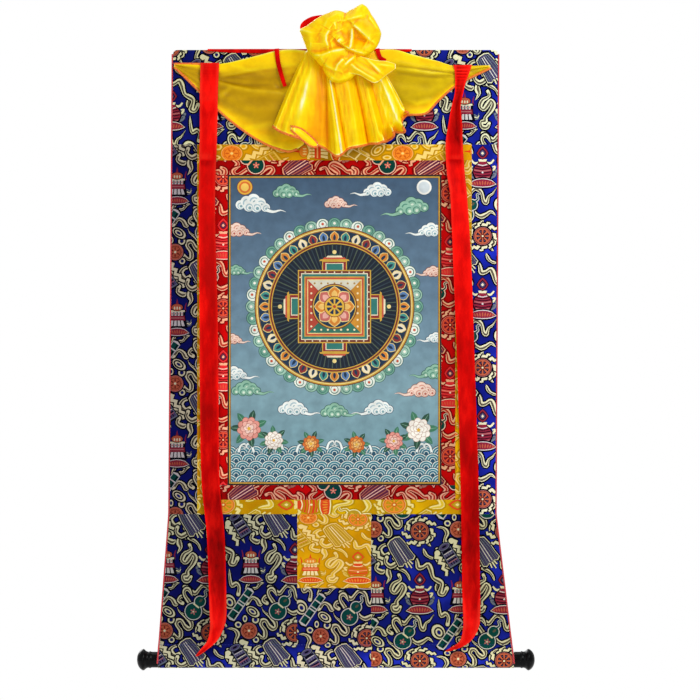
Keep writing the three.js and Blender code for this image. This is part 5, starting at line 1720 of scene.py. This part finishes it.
bunch = {
    "x": 6.1, "y": -32, "z": 11.4, "front": 25, "back": 27, "rings": 104, "spokes": 250,
    # degrees round the middle and the reach there
    "outline": [
        (0.0, 59.5), (9.8, 62.7), (25.3, 60.8), (38.9, 60.8), (50.8, 64.0), (58.0, 63.4), (65.3, 51.2),
        (76.2, 41.6), (86.0, 43.5), (95.9, 44.5), (110.7, 43.2), (128.3, 44.3), (143.9, 47.2), (154.2, 50.9),
        (159.8, 55.3), (163.7, 59.6), (171.9, 54.0), (183.5, 49.7), (194.9, 47.4), (208.3, 45.1),
        (222.1, 43.2), (238.2, 44.9), (252.1, 54.5), (259.7, 59.7), (270.0, 61.1), (280.3, 59.7),
        (290.4, 57.0), (298.7, 54.0), (310.0, 49.8), (322.8, 47.9), (338.2, 49.3), (350.5, 55.7),
        (360.0, 59.5),
    ],
    "creases": [
        (6, 4, 12, [(-33.6, -10.7), (-18.4, -9.9), (-3.1, -4.6), (10.6, -1.8), (19.8, -1.5)]),
        (8, 10, 2.5, [(4.5, 11.4), (12.2, 5.3), (21.3, -0.8), (32.0, -5.3), (42.7, -7.6), (56.4, -3.1)]),
        (5, 3, 3, [(25.6, 29.0), (25.1, 14.5), (23.2, 1.5)]),
        (7, 10, 2.5, [(27.4, 33.6), (33.5, 28.2), (42.7, 19.8), (52.6, 11.1)]),
        (3, 2.5, 8, [(-7.4, 25.9), (-11.5, 19.1), (-11.9, 11.4), (-9.2, 3.1)]),
        (2.4, 3, 3, [(0, 38.2), (1.2, 32.8), (2.3, 26.7)]),
        (4, 7, 3, [(11.4, 39.7), (25.9, 43.5), (41.2, 47.3)]),
        (4.5, 6, 2.5, [(48.0, 58.8), (51.9, 43.5), (61.0, 31.3), (66.4, 25.2)]),
        (4, 6, 12, [(-15.3, 31.3), (-9.2, 42.0), (3.0, 49.6), (13.7, 51.9)]),
        (4.5, 3, 3, [(14.5, -25.2), (21.3, -18.3), (29.0, -12.2)]),
        (5, 3, 6, [(1.5, -32.8), (4.5, -24.4), (10.6, -17.6), (14.0, -15.7)]),
        (4, 8, 2.5, [(-32.1, -13.0), (-18.4, -22.1), (-6.1, -28.2), (4.5, -32.8)]),
        (3.5, 4, 4, [(-15.3, -32.8), (-6.1, -42.7), (6.1, -47.3), (19.8, -42.7)]),
        (-9, 8, 8, [(27.4, 13.7), (36.6, 13.3), (45.8, 8.4)]),
        (-3.4, 6, 7, [(-3.1, 12.2), (6.1, 4.6), (18.3, -2.6), (29.0, -7.6)]),
        (-4, 6, 6, [(-35.1, -3.1), (-21.4, -3.8), (-3.1, 0.8)]),
        (-2.5, 9, 9, [(-21.4, 22.1), (-22.6, 6.9)]),
        (-2.4, 7, 7, [(9, 26), (13, 18), (17, 9)]),
        (-5, 6, 6, [(30.5, -13.0), (41.2, -13.0), (51.9, -8.4)]),
        (-4, 5, 5, [(12.2, -35.9), (21.3, -31.3), (29.0, -34.3)]),
        (2, 8, 6, [(-39.7, 26.7), (-35.1, 14.5), (-33.6, 0.8)]),
    ],
}


def bunchPoint(degrees, tilt):
    reach = readTable(bunch["outline"], degrees)[0] * sin(tilt)
    a = radians(degrees)
    x, z = bunch["x"] + reach * cos(a), bunch["z"] + reach * sin(a)
    facing = cos(tilt)
    if facing <= 0:
        pucker = 2.2 * sin(9 * a + 1) * sin(tilt) ** 2 * -facing
        return Vector((x, bunch["y"] - bunch["back"] * facing + pucker, z))
    crumple = 1.1 * noise.noise(Vector((x / 17, z / 17, 4.0))) + 0.3 * noise.noise(
        Vector((x / 6, z / 8, 1.0))
    )
    relief = creaseHeight(bunch["creases"], x, z) + crumple
    return Vector((x, bunch["y"] - bunch["front"] * facing ** 0.6 - min(1, 1.8 * facing) * relief, z))


flap = {
    # x, levels of the upper and the lower edge, depth, and the ridge between them
    "rows": [
        (12, -2, -34, -44, 2), (36, -11, -38, -46, 5), (58, -17, -49, -42, 6), (74, -18, -38, -36, 4),
        (88, -22, -28, -30, 1),
    ],
    "creases": [
        (5.0, 2.2, 6, [(21, -20), (31, -29), (46, -38), (59, -45)]),
        (-3, 4, 4, [(30, -16), (50, -28), (64, -36)]), (3.4, 5, 2.4, [(46, -14), (58, -26), (66, -34)]),
        (2.4, 3, 3, [(60, -22), (76, -24), (86, -25)]),
    ],
    "mesh": (64, 36),
}


def flapSurface(u, v):
    x, top, bottom, y, ridge = alongTable(flap["rows"], u)
    z = lerp(top, bottom, v)
    return Vector((x, y - ridge * sin(pi * v) - creaseHeight(flap["creases"], x, z), z))


turnUp = {
    "upper": [(-62.6, -112.2), (-48.9, -115.5), (-33.6, -127.4), (-24.5, -136.6)],
    "lower": [(-62.4, -116.8), (-50.4, -128), (-34.6, -140), (-25, -141.5)], "off": 3.4, "mesh": (40, 12),
}


def turnUpSurface(u, v):  # the bit of hem that has folded up over the skirt's left side
    upper, lower = alongTable(turnUp["upper"], u), alongTable(turnUp["lower"], u)
    x, z = lerp(upper[0], lower[0], v), lerp(upper[1], lower[1], v)
    rows = skirt["pleats"]
    depth = readTable([(row[3], row[4]) for row in rows], x)[0]
    return Vector((x, depth - turnUp["off"] - 3.2 * sin(pi * v) * sin(pi * clamp(u, 0.05, 0.95)), z))


def lumpParts(rings, spokes, pointAt):  # a closed lump from its front pole to its back pole
    points = [pointAt(0, 0)]
    for r in range(1, rings):
        points += [pointAt(360 * s / spokes, pi * (r / rings) ** 1.25) for s in range(spokes)]
    points.append(pointAt(0, pi))
    at = lambda r, s: 1 + (r - 1) * spokes + s % spokes
    faces = [[0, at(1, s + 1), at(1, s)] for s in range(spokes)]
    for r in range(1, rings - 1):
        faces += [[at(r, s), at(r, s + 1), at(r + 1, s + 1), at(r + 1, s)] for s in range(spokes)]
    faces += [[at(rings - 1, s), at(rings - 1, s + 1), len(points) - 1] for s in range(spokes)]
    return points, faces


# thin yellow silk: bright and slippery, with painted highlights on the ridges and painted shade in the
# valleys, where it also turns orange as it is gathered deep and doubled
def silkFinish():
    material, tree = startFinish("yellowHabotaiSilk")
    fold = addNode(tree, "ShaderNodeAttribute", attribute_name="foldShading")
    single = addNode(tree, "ShaderNodeAttribute", attribute_name="singleLayer")
    place = addNode(tree, "ShaderNodeTexCoord").outputs["Object"]
    gathered = addNode(
        tree, "ShaderNodeValToRGB", {"Fac": fold.outputs["Fac"]},
        [
            (0.0, "ec8a00"), (0.3, "f9ae01"), (0.5, "fed003"), (0.7, "ffe40a"), (0.86, "ffec50"),
            (1.0, "fff9c8"),
        ]
    )
    thin = addNode(
        tree, "ShaderNodeValToRGB", {"Fac": fold.outputs["Fac"]},
        [(0.0, "8f7600"), (0.38, "bc9c02"), (0.55, "d8b806"), (0.8, "f2d816"), (1.0, "fff06a")]
    )
    parts = addNode(tree, "ShaderNodeSeparateXYZ", {0: place})
    across = addNode(
        tree, "ShaderNodeMapRange", {"Value": parts.outputs["X"], "From Min": -0.1, "From Max": 0.1}
    )
    # painted light: the wings are painted lighter towards the right, which lies nearer the light
    side = addNode(tree, "ShaderNodeValToRGB", {"Fac": across}, [(0.0, "ead8a0"), (1.0, "ffffff")])
    wing = addNode(tree, "ShaderNodeMix", {0: 1.0, 6: thin, 7: side}, data_type="RGBA", blend_type="MULTIPLY")
    cloudy = addNode(tree, "ShaderNodeTexNoise", {"Vector": place, "Scale": 55.0, "Detail": 3.0})
    mottle = addNode(tree, "ShaderNodeValToRGB", {"Fac": cloudy}, [(0.3, "e4e0d0"), (0.7, "ffffff")])
    both = addNode(tree, "ShaderNodeMix", {0: single.outputs["Fac"], 6: gathered, 7: wing}, data_type="RGBA")
    colour = addNode(
        tree, "ShaderNodeMix", {0: 0.8, 6: both, 7: mottle}, data_type="RGBA", blend_type="MULTIPLY"
    )
    # plain weave drawn at 0.9 mm, several times its real spacing
    warp = addNode(
        tree, "ShaderNodeTexWave", {"Vector": place, "Scale": waveUnit / 0.0009, "Distortion": 1.0},
        bands_direction="X"
    )
    relief = addNode(
        tree, "ShaderNodeBump", {"Height": warp.outputs["Fac"], "Strength": 0.08, "Distance": 0.0002}
    )
    setInputs(
        tree, tree.nodes["Principled BSDF"],
        {"Base Color": colour, "Roughness": 0.34, "Normal": relief, "Specular IOR Level": 0.1}
    )
    return material


def shadeByFolds(obj, gain, rounds):  # how far each point lies in a valley or on a ridge, for painted shade and painted highlights
    bm = bmesh.new()
    bm.from_mesh(obj.data)
    bm.normal_update()
    bm.verts.index_update()
    near = [[e.other_vert(v).index for e in v.link_edges] for v in bm.verts]
    tone = []
    for v in bm.verts:
        others = [e.other_vert(v).co for e in v.link_edges]
        middle = sum(others, Vector()) / len(others)
        span = sum((o - v.co).length for o in others) / len(others)
        tone.append(-(middle - v.co).dot(v.normal) / max(span * span, 1e-9) * mm)
    for _ in range(rounds):
        tone = [0.4 * t + 0.6 * sum(tone[k] for k in ks) / len(ks) for t, ks in zip(tone, near)]
    bm.free()
    return [0.5 + 0.5 * tanh(gain * t) for t in tone]


def skirtShine(u, v):
    total = 0.0
    for at, wide, start, end, amount in skirt["shine"]:
        fade = 1 - smooth(end - 0.15, end + 0.15, v) * (end < 1)
        total += amount * exp(-(((u - at) / wide) ** 2)) * smooth(start - 0.15, start + 0.15, v) * fade
    return total * (0.75 + 0.7 * noise.noise(Vector((u * 30, v * 5, 7.0))))


def makeVeil(silk):
    across, down = skirt["mesh"]
    leftWing, rightWing = (lambda u, v, side=side: wingSurface(side, u, v) for side in ("left", "right"))
    parts = [
        (sheetParts(leftWing, *wings["left"]["mesh"], scroll["silk"]), "wing"),
        (sheetParts(rightWing, *wings["right"]["mesh"], scroll["silk"]), "wing"),
        (sheetParts(skirtSurface, across, down, scroll["silk"]), "skirt"),
        (lumpParts(bunch["rings"], bunch["spokes"], bunchPoint), "gather"),
        (sheetParts(flapSurface, *flap["mesh"], scroll["silk"]), "gather"),
        (sheetParts(turnUpSurface, *turnUp["mesh"], scroll["silk"]), "gather"),
    ]
    points, faces, kinds, shine = [], [], [], []
    for (more, rings), kind in parts:
        faces += [[i + len(points) for i in ring] for ring in rings]
        points += more
        kinds += [kind] * len(more)
        glints = [0.0] * len(more)
        if kind == "skirt":
            glints = [
                skirtShine(i / across, j / down) for j in range(down + 1) for i in range(across + 1)
            ] * 2
        shine += glints
    obj = outward(makeObject("veilSilk", points, faces, silk, 70))
    # painted shade and highlights from the folds, with the skirt's painted shine added
    tones = [clamp(t + more) for t, more in zip(shadeByFolds(obj, 11, 2), shine)]
    single = []
    for p, kind in zip(points, kinds):
        edge = 0.0
        if kind == "wing":  # the two edges are doubled by their hems and stand brighter
            top, bottom = readTable(sorted(wings["left" if p[0] < 0 else "right"]["rows"]), p[0])
            off = abs((p[2] - bottom) / (top - bottom + 1e-6) - 0.5) * 2 - 0.3
            edge = smooth(0.62, 0.16, off) * smooth(56, 92, abs(p[0] - 5))
        single.append(edge)
    for name, values in (("foldShading", tones), ("singleLayer", single)):
        obj.data.attributes.new(name, "FLOAT", "POINT").data.foreach_set("value", values)
    return setPiece(obj, "yellow_silk", "veil")


# Ribbons and tapes

ribbon = {
    "width": 27, "sewn": 46, "mesh": (14, 260),
    # level and how much lighter or darker the satin is painted there: painted light and shade down each
    # ribbon
    "leftShade": [
        (-19, 0.1), (-120, 0.12), (-330, 0.05), (-520, -0.06), (-610, -0.14), (-660, -0.3), (-770, -0.36),
        (-800, -0.05), (-830, 0.25), (-880, 0.2),
    ],
    "rightShade": [
        (-22, 0.05), (-60, -0.25), (-110, -0.3), (-140, 0.05), (-240, 0.12), (-480, 0.0), (-620, -0.05),
        (-700, -0.24), (-775, -0.28), (-805, 0.0), (-830, 0.25), (-875, 0.2),
    ],
    # level, left edge, right edge, depth, and which way it is turned where it shows narrower
    "left": [
        (-19, -194, -167, -2.2, 0), (-60, -195, -168.5, -2.2, 0), (-136, -195.5, -170.5, -4.6, 0.5),
        (-232, -197, -173, -6, 0.5), (-391, -195.6, -169, -6, 0.4),
        (-500, -195, -168, -6.5, 0.3), (-623, -192.7, -166.5, -7, -0.4), (-701, -185, -159.5, -8, -0.6),
        (-779, -182, -157, -10, -0.6), (-818, -180.5, -156.5, -13, -0.6),
        (-838, -180, -160.5, -17, -0.5), (-856, -184, -170, -20, -0.3), (-870, -195, -186, -20, -0.15),
        (-878, -201, -198.5, -19, 0),
    ],
    "right": [
        (-22, 172, 199, -2.2, 0), (-32, 174, 196, -2.8, 0.3), (-48, 174.7, 190, -4.6, 0.55),
        (-64, 174, 186, -6, 0.7), (-83, 169.5, 182.5, -8, 0.7), (-110, 164.6, 185, -8, 0.6),
        (-138, 161, 186, -7, 0.3), (-180, 163, 189, -7, -0.3), (-217, 168, 192.6, -7, -0.5),
        (-313, 172, 198.5, -7, -0.4), (-462, 178, 203.5, -7, 0.4), (-623, 182.6, 208.6, -7, 0.4),
        (-779, 185, 211, -10, -0.5), (-818, 186.3, 211, -13, -0.6), (-838, 186, 208.5, -17, -0.5),
        (-856, 181.5, 197.5, -20, -0.3), (-866, 168, 181.5, -20, -0.15), (-871, 160.5, 163.5, -19, 0),
    ],
}
tapes = {  # middle line as x and z, with the width there
    "hangingTape": [
        (-184, 0.3, 2), (-160, -1, 4.6), (-110, -1.6, 6), (-60, -2.2, 7), (60, -2.2, 7), (112, -0.4, 3)
    ],
    "tieLeft": [(-83.5, 1.5, 6.6), (-82, -16, 6.4), (-77, -36, 6.2), (-71.5, -53, 5.4)],
    "tieRight": [(62, 1.5, 6), (63.5, -5, 6), (67, -12.5, 6), (74.5, -15.5, 4)],
    "tieTop": [(-22, -4, 8), (-36, 18, 9), (-45, 33, 10), (-33, 44, 8), (-14, 48, 6)],
}


# red polyester satin: a little crumpled, with painted light and shade: lighter on the crumples' crests and on
# the ridges, darker where it turns from the light
def satinFinish():
    material, tree = startFinish("redSatin")
    fold = addNode(tree, "ShaderNodeAttribute", attribute_name="foldShading")
    place = addNode(tree, "ShaderNodeTexCoord").outputs["Object"]
    long = addNode(tree, "ShaderNodeMapping", {"Vector": place, "Scale": (1.0, 1.0, 0.3)})
    crumple = addNode(
        tree, "ShaderNodeTexNoise", {"Vector": long, "Scale": 52.0, "Detail": 5.0, "Roughness": 0.6}
    )
    # painted light and shade: the crumples' crests lighter, their hollows darker
    tone = addNode(
        tree, "ShaderNodeValToRGB", {"Fac": crumple}, [(0.36, "680000"), (0.5, "c20101"), (0.62, "ff1208")]
    )
    # painted highlights on the ridges and painted shade in the folds
    lit = addNode(
        tree, "ShaderNodeValToRGB", {"Fac": fold.outputs["Fac"]},
        [(0.1, "5c0000"), (0.45, "b80202"), (0.62, "ea0c06"), (1.0, "ff3020")]
    )
    colour = addNode(tree, "ShaderNodeMix", {0: 0.58, 6: tone, 7: lit}, data_type="RGBA")
    relief = addNode(tree, "ShaderNodeBump", {"Height": crumple, "Strength": 0.25, "Distance": 0.002})
    setInputs(
        tree, tree.nodes["Principled BSDF"],
        {"Base Color": colour, "Roughness": 0.45, "Normal": relief, "Specular IOR Level": 0.03}
    )
    return material


def hangRibbon(side, name, node, satin):
    rows = ribbon[side]
    top, sewn = rows[0][0], ribbon["sewn"]
    phase = 2 if side == "left" else 0  # so that the two don't ripple alike
    laidAt = {}

    def surface(u, v):
        z, left, right, y, lean = alongTable(rows, v)
        hidden = sqrt(max(0, ribbon["width"] ** 2 - (right - left) ** 2))
        ripple = 0.7 * sin(z / 23 + phase) * (u - 0.5) + 0.5 * sin(z / 41 + 3 * u)
        ripple += 0.45 * noise.noise(Vector((u * 1.6, z / 13, 2.0)))
        cup = 1.2 * sin(pi * u) * sin(z / 90 + 1)
        free = y - lean * hidden * (u - 0.5) - (ripple + cup) * smooth(top - 60, top - 120, z)
        if v not in laidAt:
            laidAt[v] = laidOnWing(side, left, right, z) if z > -160 else 0.0
        laid = laidAt[v] if z > -160 else free
        share = smooth(top - sewn, top - 0.55 * sewn, z)
        return Vector((lerp(left, right, u), min(lerp(free, laid, share), laid), z))

    points, faces = sheetParts(surface, *ribbon["mesh"], scroll["satin"])
    obj = outward(makeObject(name, points, faces, satin, 70))
    obj.data.attributes.new("foldShading", "FLOAT", "POINT").data.foreach_set(
        "value",
        [clamp(t + readTable(ribbon[side + "Shade"], p[2])[0]) for t, p in zip(shadeByFolds(obj, 30, 3), points)]
    )
    setPiece(obj, "red_satin", node)


def layTape(name, node, steps, depthAt, satin):
    rows = tapes[name]

    def surface(u, v):
        x, z, wide = alongTable(rows, v)
        before, after = alongTable(rows, v - 0.02), alongTable(rows, v + 0.02)
        dx, dz = after[0] - before[0], after[1] - before[1]
        run = hypot(dx, dz)
        across = (u - 0.5) * wide
        x, z = x - across * dz / run, z + across * dx / run
        return Vector((x, depthAt(x, z) - 0.25 * sin(pi * u), z))

    points, faces = sheetParts(surface, 6, steps, scroll["satin"])
    obj = outward(makeObject(name, points, faces, satin, 70))
    obj.data.attributes.new("foldShading", "FLOAT", "POINT").data.foreach_set("value", [0.5] * len(points))
    return setPiece(obj, "red_satin", node)


# Stitches: Geometry Nodes set one thread after another along a line

def makeStitchTree():
    inputs = {
        "Line": "Object", "Thread": "Object", "Spacing": "Float", "Lean": "Rotation", "Finish": "Material"
    }
    tree, source = startTree("stitchesAlongLine", inputs, "Stitches")
    line = addNode(tree, "GeometryNodeObjectInfo", {"Object": source["Line"]})
    curve = addNode(tree, "GeometryNodeMeshToCurve", {"Mesh": line.outputs["Geometry"]})
    spaced = addNode(
        tree, "GeometryNodeResampleCurve", {"Curve": curve, "Length": source["Spacing"]}, mode="LENGTH"
    )
    tangent = addNode(tree, "GeometryNodeInputTangent")
    aligned = addNode(tree, "FunctionNodeAlignRotationToVector", {"Vector": tangent}, axis="X")
    leaning = addNode(
        tree, "FunctionNodeRotateRotation", {"Rotation": aligned, "Rotate By": source["Lean"]},
        rotation_space="LOCAL"
    )
    thread = addNode(tree, "GeometryNodeObjectInfo", {"Object": source["Thread"]})
    laid = addNode(
        tree, "GeometryNodeInstanceOnPoints",
        {"Points": spaced, "Instance": thread.outputs["Geometry"], "Rotation": leaning}
    )
    real = addNode(tree, "GeometryNodeRealizeInstances", {0: laid})
    finish = addNode(tree, "GeometryNodeSetMaterial", {"Geometry": real, "Material": source["Finish"]})
    addNode(tree, "NodeGroupOutput", {0: finish})
    return tree


def threadShape(name, length, radius, sides=6):  # one stitch along x, thin at both ends
    rows = [(-0.5, 0.35), (-0.32, 0.9), (0, 1.0), (0.32, 0.9), (0.5, 0.35)]
    points = [
        (length * along, radius * k * cos(2 * pi * s / sides), radius * k * sin(2 * pi * s / sides))
        for along, k in rows
        for s in range(sides)
    ]
    mesh = bpy.data.meshes.new(name)
    mesh.from_pydata([Vector(p) * mm for p in points], [], tubeFaces(len(rows), sides))
    return outward(linkObject(name, mesh))


def sewLine(name, points, thread, spacing, lean, finish, slot):
    mesh = bpy.data.meshes.new(name + "Line")
    mesh.from_pydata([Vector(p) * mm for p in points], [(i, i + 1) for i in range(len(points) - 1)], [])
    line = linkObject(name + "Line", mesh)
    made = runTree(
        name, stitchTree,
        {"Line": line, "Thread": thread, "Spacing": spacing * mm, "Lean": lean, "Finish": finish}
    )
    bpy.data.objects.remove(line)
    made.shade_smooth()
    return setPiece(linkObject(name, made), slot)


stitchTree = makeStitchTree()
stitches = {
    "overcast": {"length": 5.0, "radius": 0.55, "spacing": 2.6}, "roll": {"radius": 1.8, "sides": 8},
    "running": {"length": 3.2, "radius": 0.35, "spacing": 4.6},
}


def makeDrapery():
    silk, satin = silkFinish(), satinFinish()
    veilObject = makeVeil(silk)
    hangRibbon("left", "ribbonLeft", "ribbon_left", satin)
    hangRibbon("right", "ribbonRight", "ribbon_right", satin)
    onHem = -scroll["cloth"] / 2 - scroll["gap"] - scroll["satin"] / 2
    onWing = lambda side: lambda x, z: laidOnWing(side, x - 1, x + 1, z)
    extras = [
        layTape("hangingTape", "hanging_tape", 60, lambda x, z: onHem, satin),
        layTape("tieTop", "tie_top", 40, lambda x, z: onHem - scroll["gap"] - scroll["satin"], satin),
        layTape("tieLeft", "tie_left", 36, onWing("left"), satin),
        layTape("tieRight", "tie_right", 24, onWing("right"), satin),
    ]
    overcast, running = stitches["overcast"], stitches["running"]
    orange = fibreFinish("orangeSilkThread", "a83008", "d04e10")
    rolled = fibreFinish("orangeRolledHem", "d4560e", "f08c22")
    loop = threadShape("overcastThread", overcast["length"], overcast["radius"])
    edges = {
        "hemLeft": [wingSurface("left", k / 90 * 0.78, 1.0) for k in range(91)],
        "hemRight": [wingSurface("right", k / 80 * 0.72, 1.0) for k in range(81)],
        "hemSkirt": [skirtSurface(k / 200, 1.0) for k in range(201)],
        "hemTurnUp": [turnUpSurface(k / 40, 0.0) for k in range(41)],
        "hemTurnUpLow": [turnUpSurface(k / 40, 1.0) for k in range(41)],
        "hemTipLeft": [wingSurface("left", k / 20 * 0.2, 0.0) for k in range(21)],
    }
    rollRadius = lambda run, a: stitches["roll"]["radius"] * smooth(-1.5, 1.0, run)
    lean = (0, radians(62), radians(10))
    for name, points in edges.items():
        parts = cordParts(points, stitches["roll"]["sides"], Vector((0, 1, 0)), rollRadius)
        extras.append(setPiece(outward(makeObject(name + "Roll", *parts, rolled, 60)), "yellow_silk"))
        extras.append(sewLine(name, points, loop, overcast["spacing"], lean, orange, "yellow_silk"))
    bpy.data.objects.remove(loop)
    stitchRow = threadShape("runningThread", running["length"], running["radius"])
    level = sleeve["z"] + sleeve["stitch"]
    left, right = sideEdges(level)
    onCloth = -scroll["cloth"] / 2 - 0.1
    seam = [(lerp(left + 3, right - 3, k / 60), onCloth, level + 1.5) for k in range(61)]
    blue = fibreFinish("blueThread", "10165a", "2a38a8")
    sewLine("rollerSeam", seam, stitchRow, running["spacing"], (0, 0, 0), blue, "blue_brocade")
    bpy.data.objects.remove(stitchRow)
    print("veil, ribbons, tapes and stitches made")


makeDrapery()


# Stage, light and camera

stage = {
    "floor": {"level": -1150, "half": 2200, "corner": 900, "thick": 20},
    "lights": {  # place and aim in metres, size in metres, power in watts
        "keyLight": ((1.25, -1.9, 0.9), (0, 0, -0.35), 1.2, 37),
        "fillLight": ((-2.2, -2.6, 0.1), (0, 0, -0.3), 2.2, 20),
        "topLight": ((0, 0.5, 2.4), (0, 0, -0.4), 2.0, 24),
        "backLight": ((-1.2, 2.4, 0.5), (0, 0, -0.4), 1.6, 34),
    },
    "surround": {"light": 0.47, "seen": 1.0},  # a white surround that lights softly
    "view": {"distance": 9.0, "perPixel": 0.00145, "pixels": 700, "x": 0.0225, "z": -0.435, "sensor": 36},
}


def makeFloor():
    plate = stage["floor"]
    inner = plate["half"] - plate["corner"]
    ring = []
    for k, (sx, sy) in enumerate(slab(1, 1, -1, -1)):
        for a in range(90 * k, 90 * k + 91, 10):
            ring.append(aroundPoint(sx * inner, sy * inner, plate["corner"], a))
    n = len(ring)
    points = [(x, y, plate["level"] - drop) for drop in (0, plate["thick"]) for x, y in ring]
    faces = [list(range(n)), list(range(2 * n - 1, n - 1, -1))]
    faces += [[i, i + n, (i + 1) % n + n, (i + 1) % n] for i in range(n)]
    paper, tree = startFinish("paleFloorPaper")
    setInputs(tree, tree.nodes["Principled BSDF"], {"Base Color": hexColour("fbfbfb"), "Roughness": 0.9})
    outward(makeObject("floor", points, faces, paper))


def makeLights():
    for name, (place, aim, size, power) in stage["lights"].items():
        data = bpy.data.lights.new(name, "AREA")
        data.shape = "SQUARE"
        data.size = size
        data.energy = power
        obj = linkObject(name, data)
        obj.location = place
        obj.rotation_euler = (Vector(aim) - Vector(place)).to_track_quat("-Z", "Y").to_euler()
    world = bpy.data.worlds.new("softWorld")
    bpy.context.scene.world = world
    world.use_nodes = True
    tree = world.node_tree
    path = addNode(tree, "ShaderNodeLightPath")
    glow = addNode(
        tree, "ShaderNodeMapRange",
        {
            "Value": path.outputs["Is Camera Ray"], "To Min": stage["surround"]["light"],
            "To Max": stage["surround"]["seen"],
        }
    )
    setInputs(tree, tree.nodes["Background"], {"Color": (1, 1, 1, 1), "Strength": glow})


def makeCamera():
    view = stage["view"]
    camera = bpy.data.cameras.new("frontView")
    camera.sensor_width = view["sensor"]
    camera.lens = camera.sensor_width * view["distance"] / (view["perPixel"] * view["pixels"])
    obj = linkObject("frontView", camera)
    obj.location = (view["x"], -view["distance"], view["z"])
    obj.rotation_euler = (radians(90), 0, 0)
    bpy.context.scene.camera = obj
    bpy.context.scene.view_settings.view_transform = "Standard"


def makeStage():
    makeFloor()
    makeLights()
    makeCamera()
    print("stage, light and camera set")


makeStage()
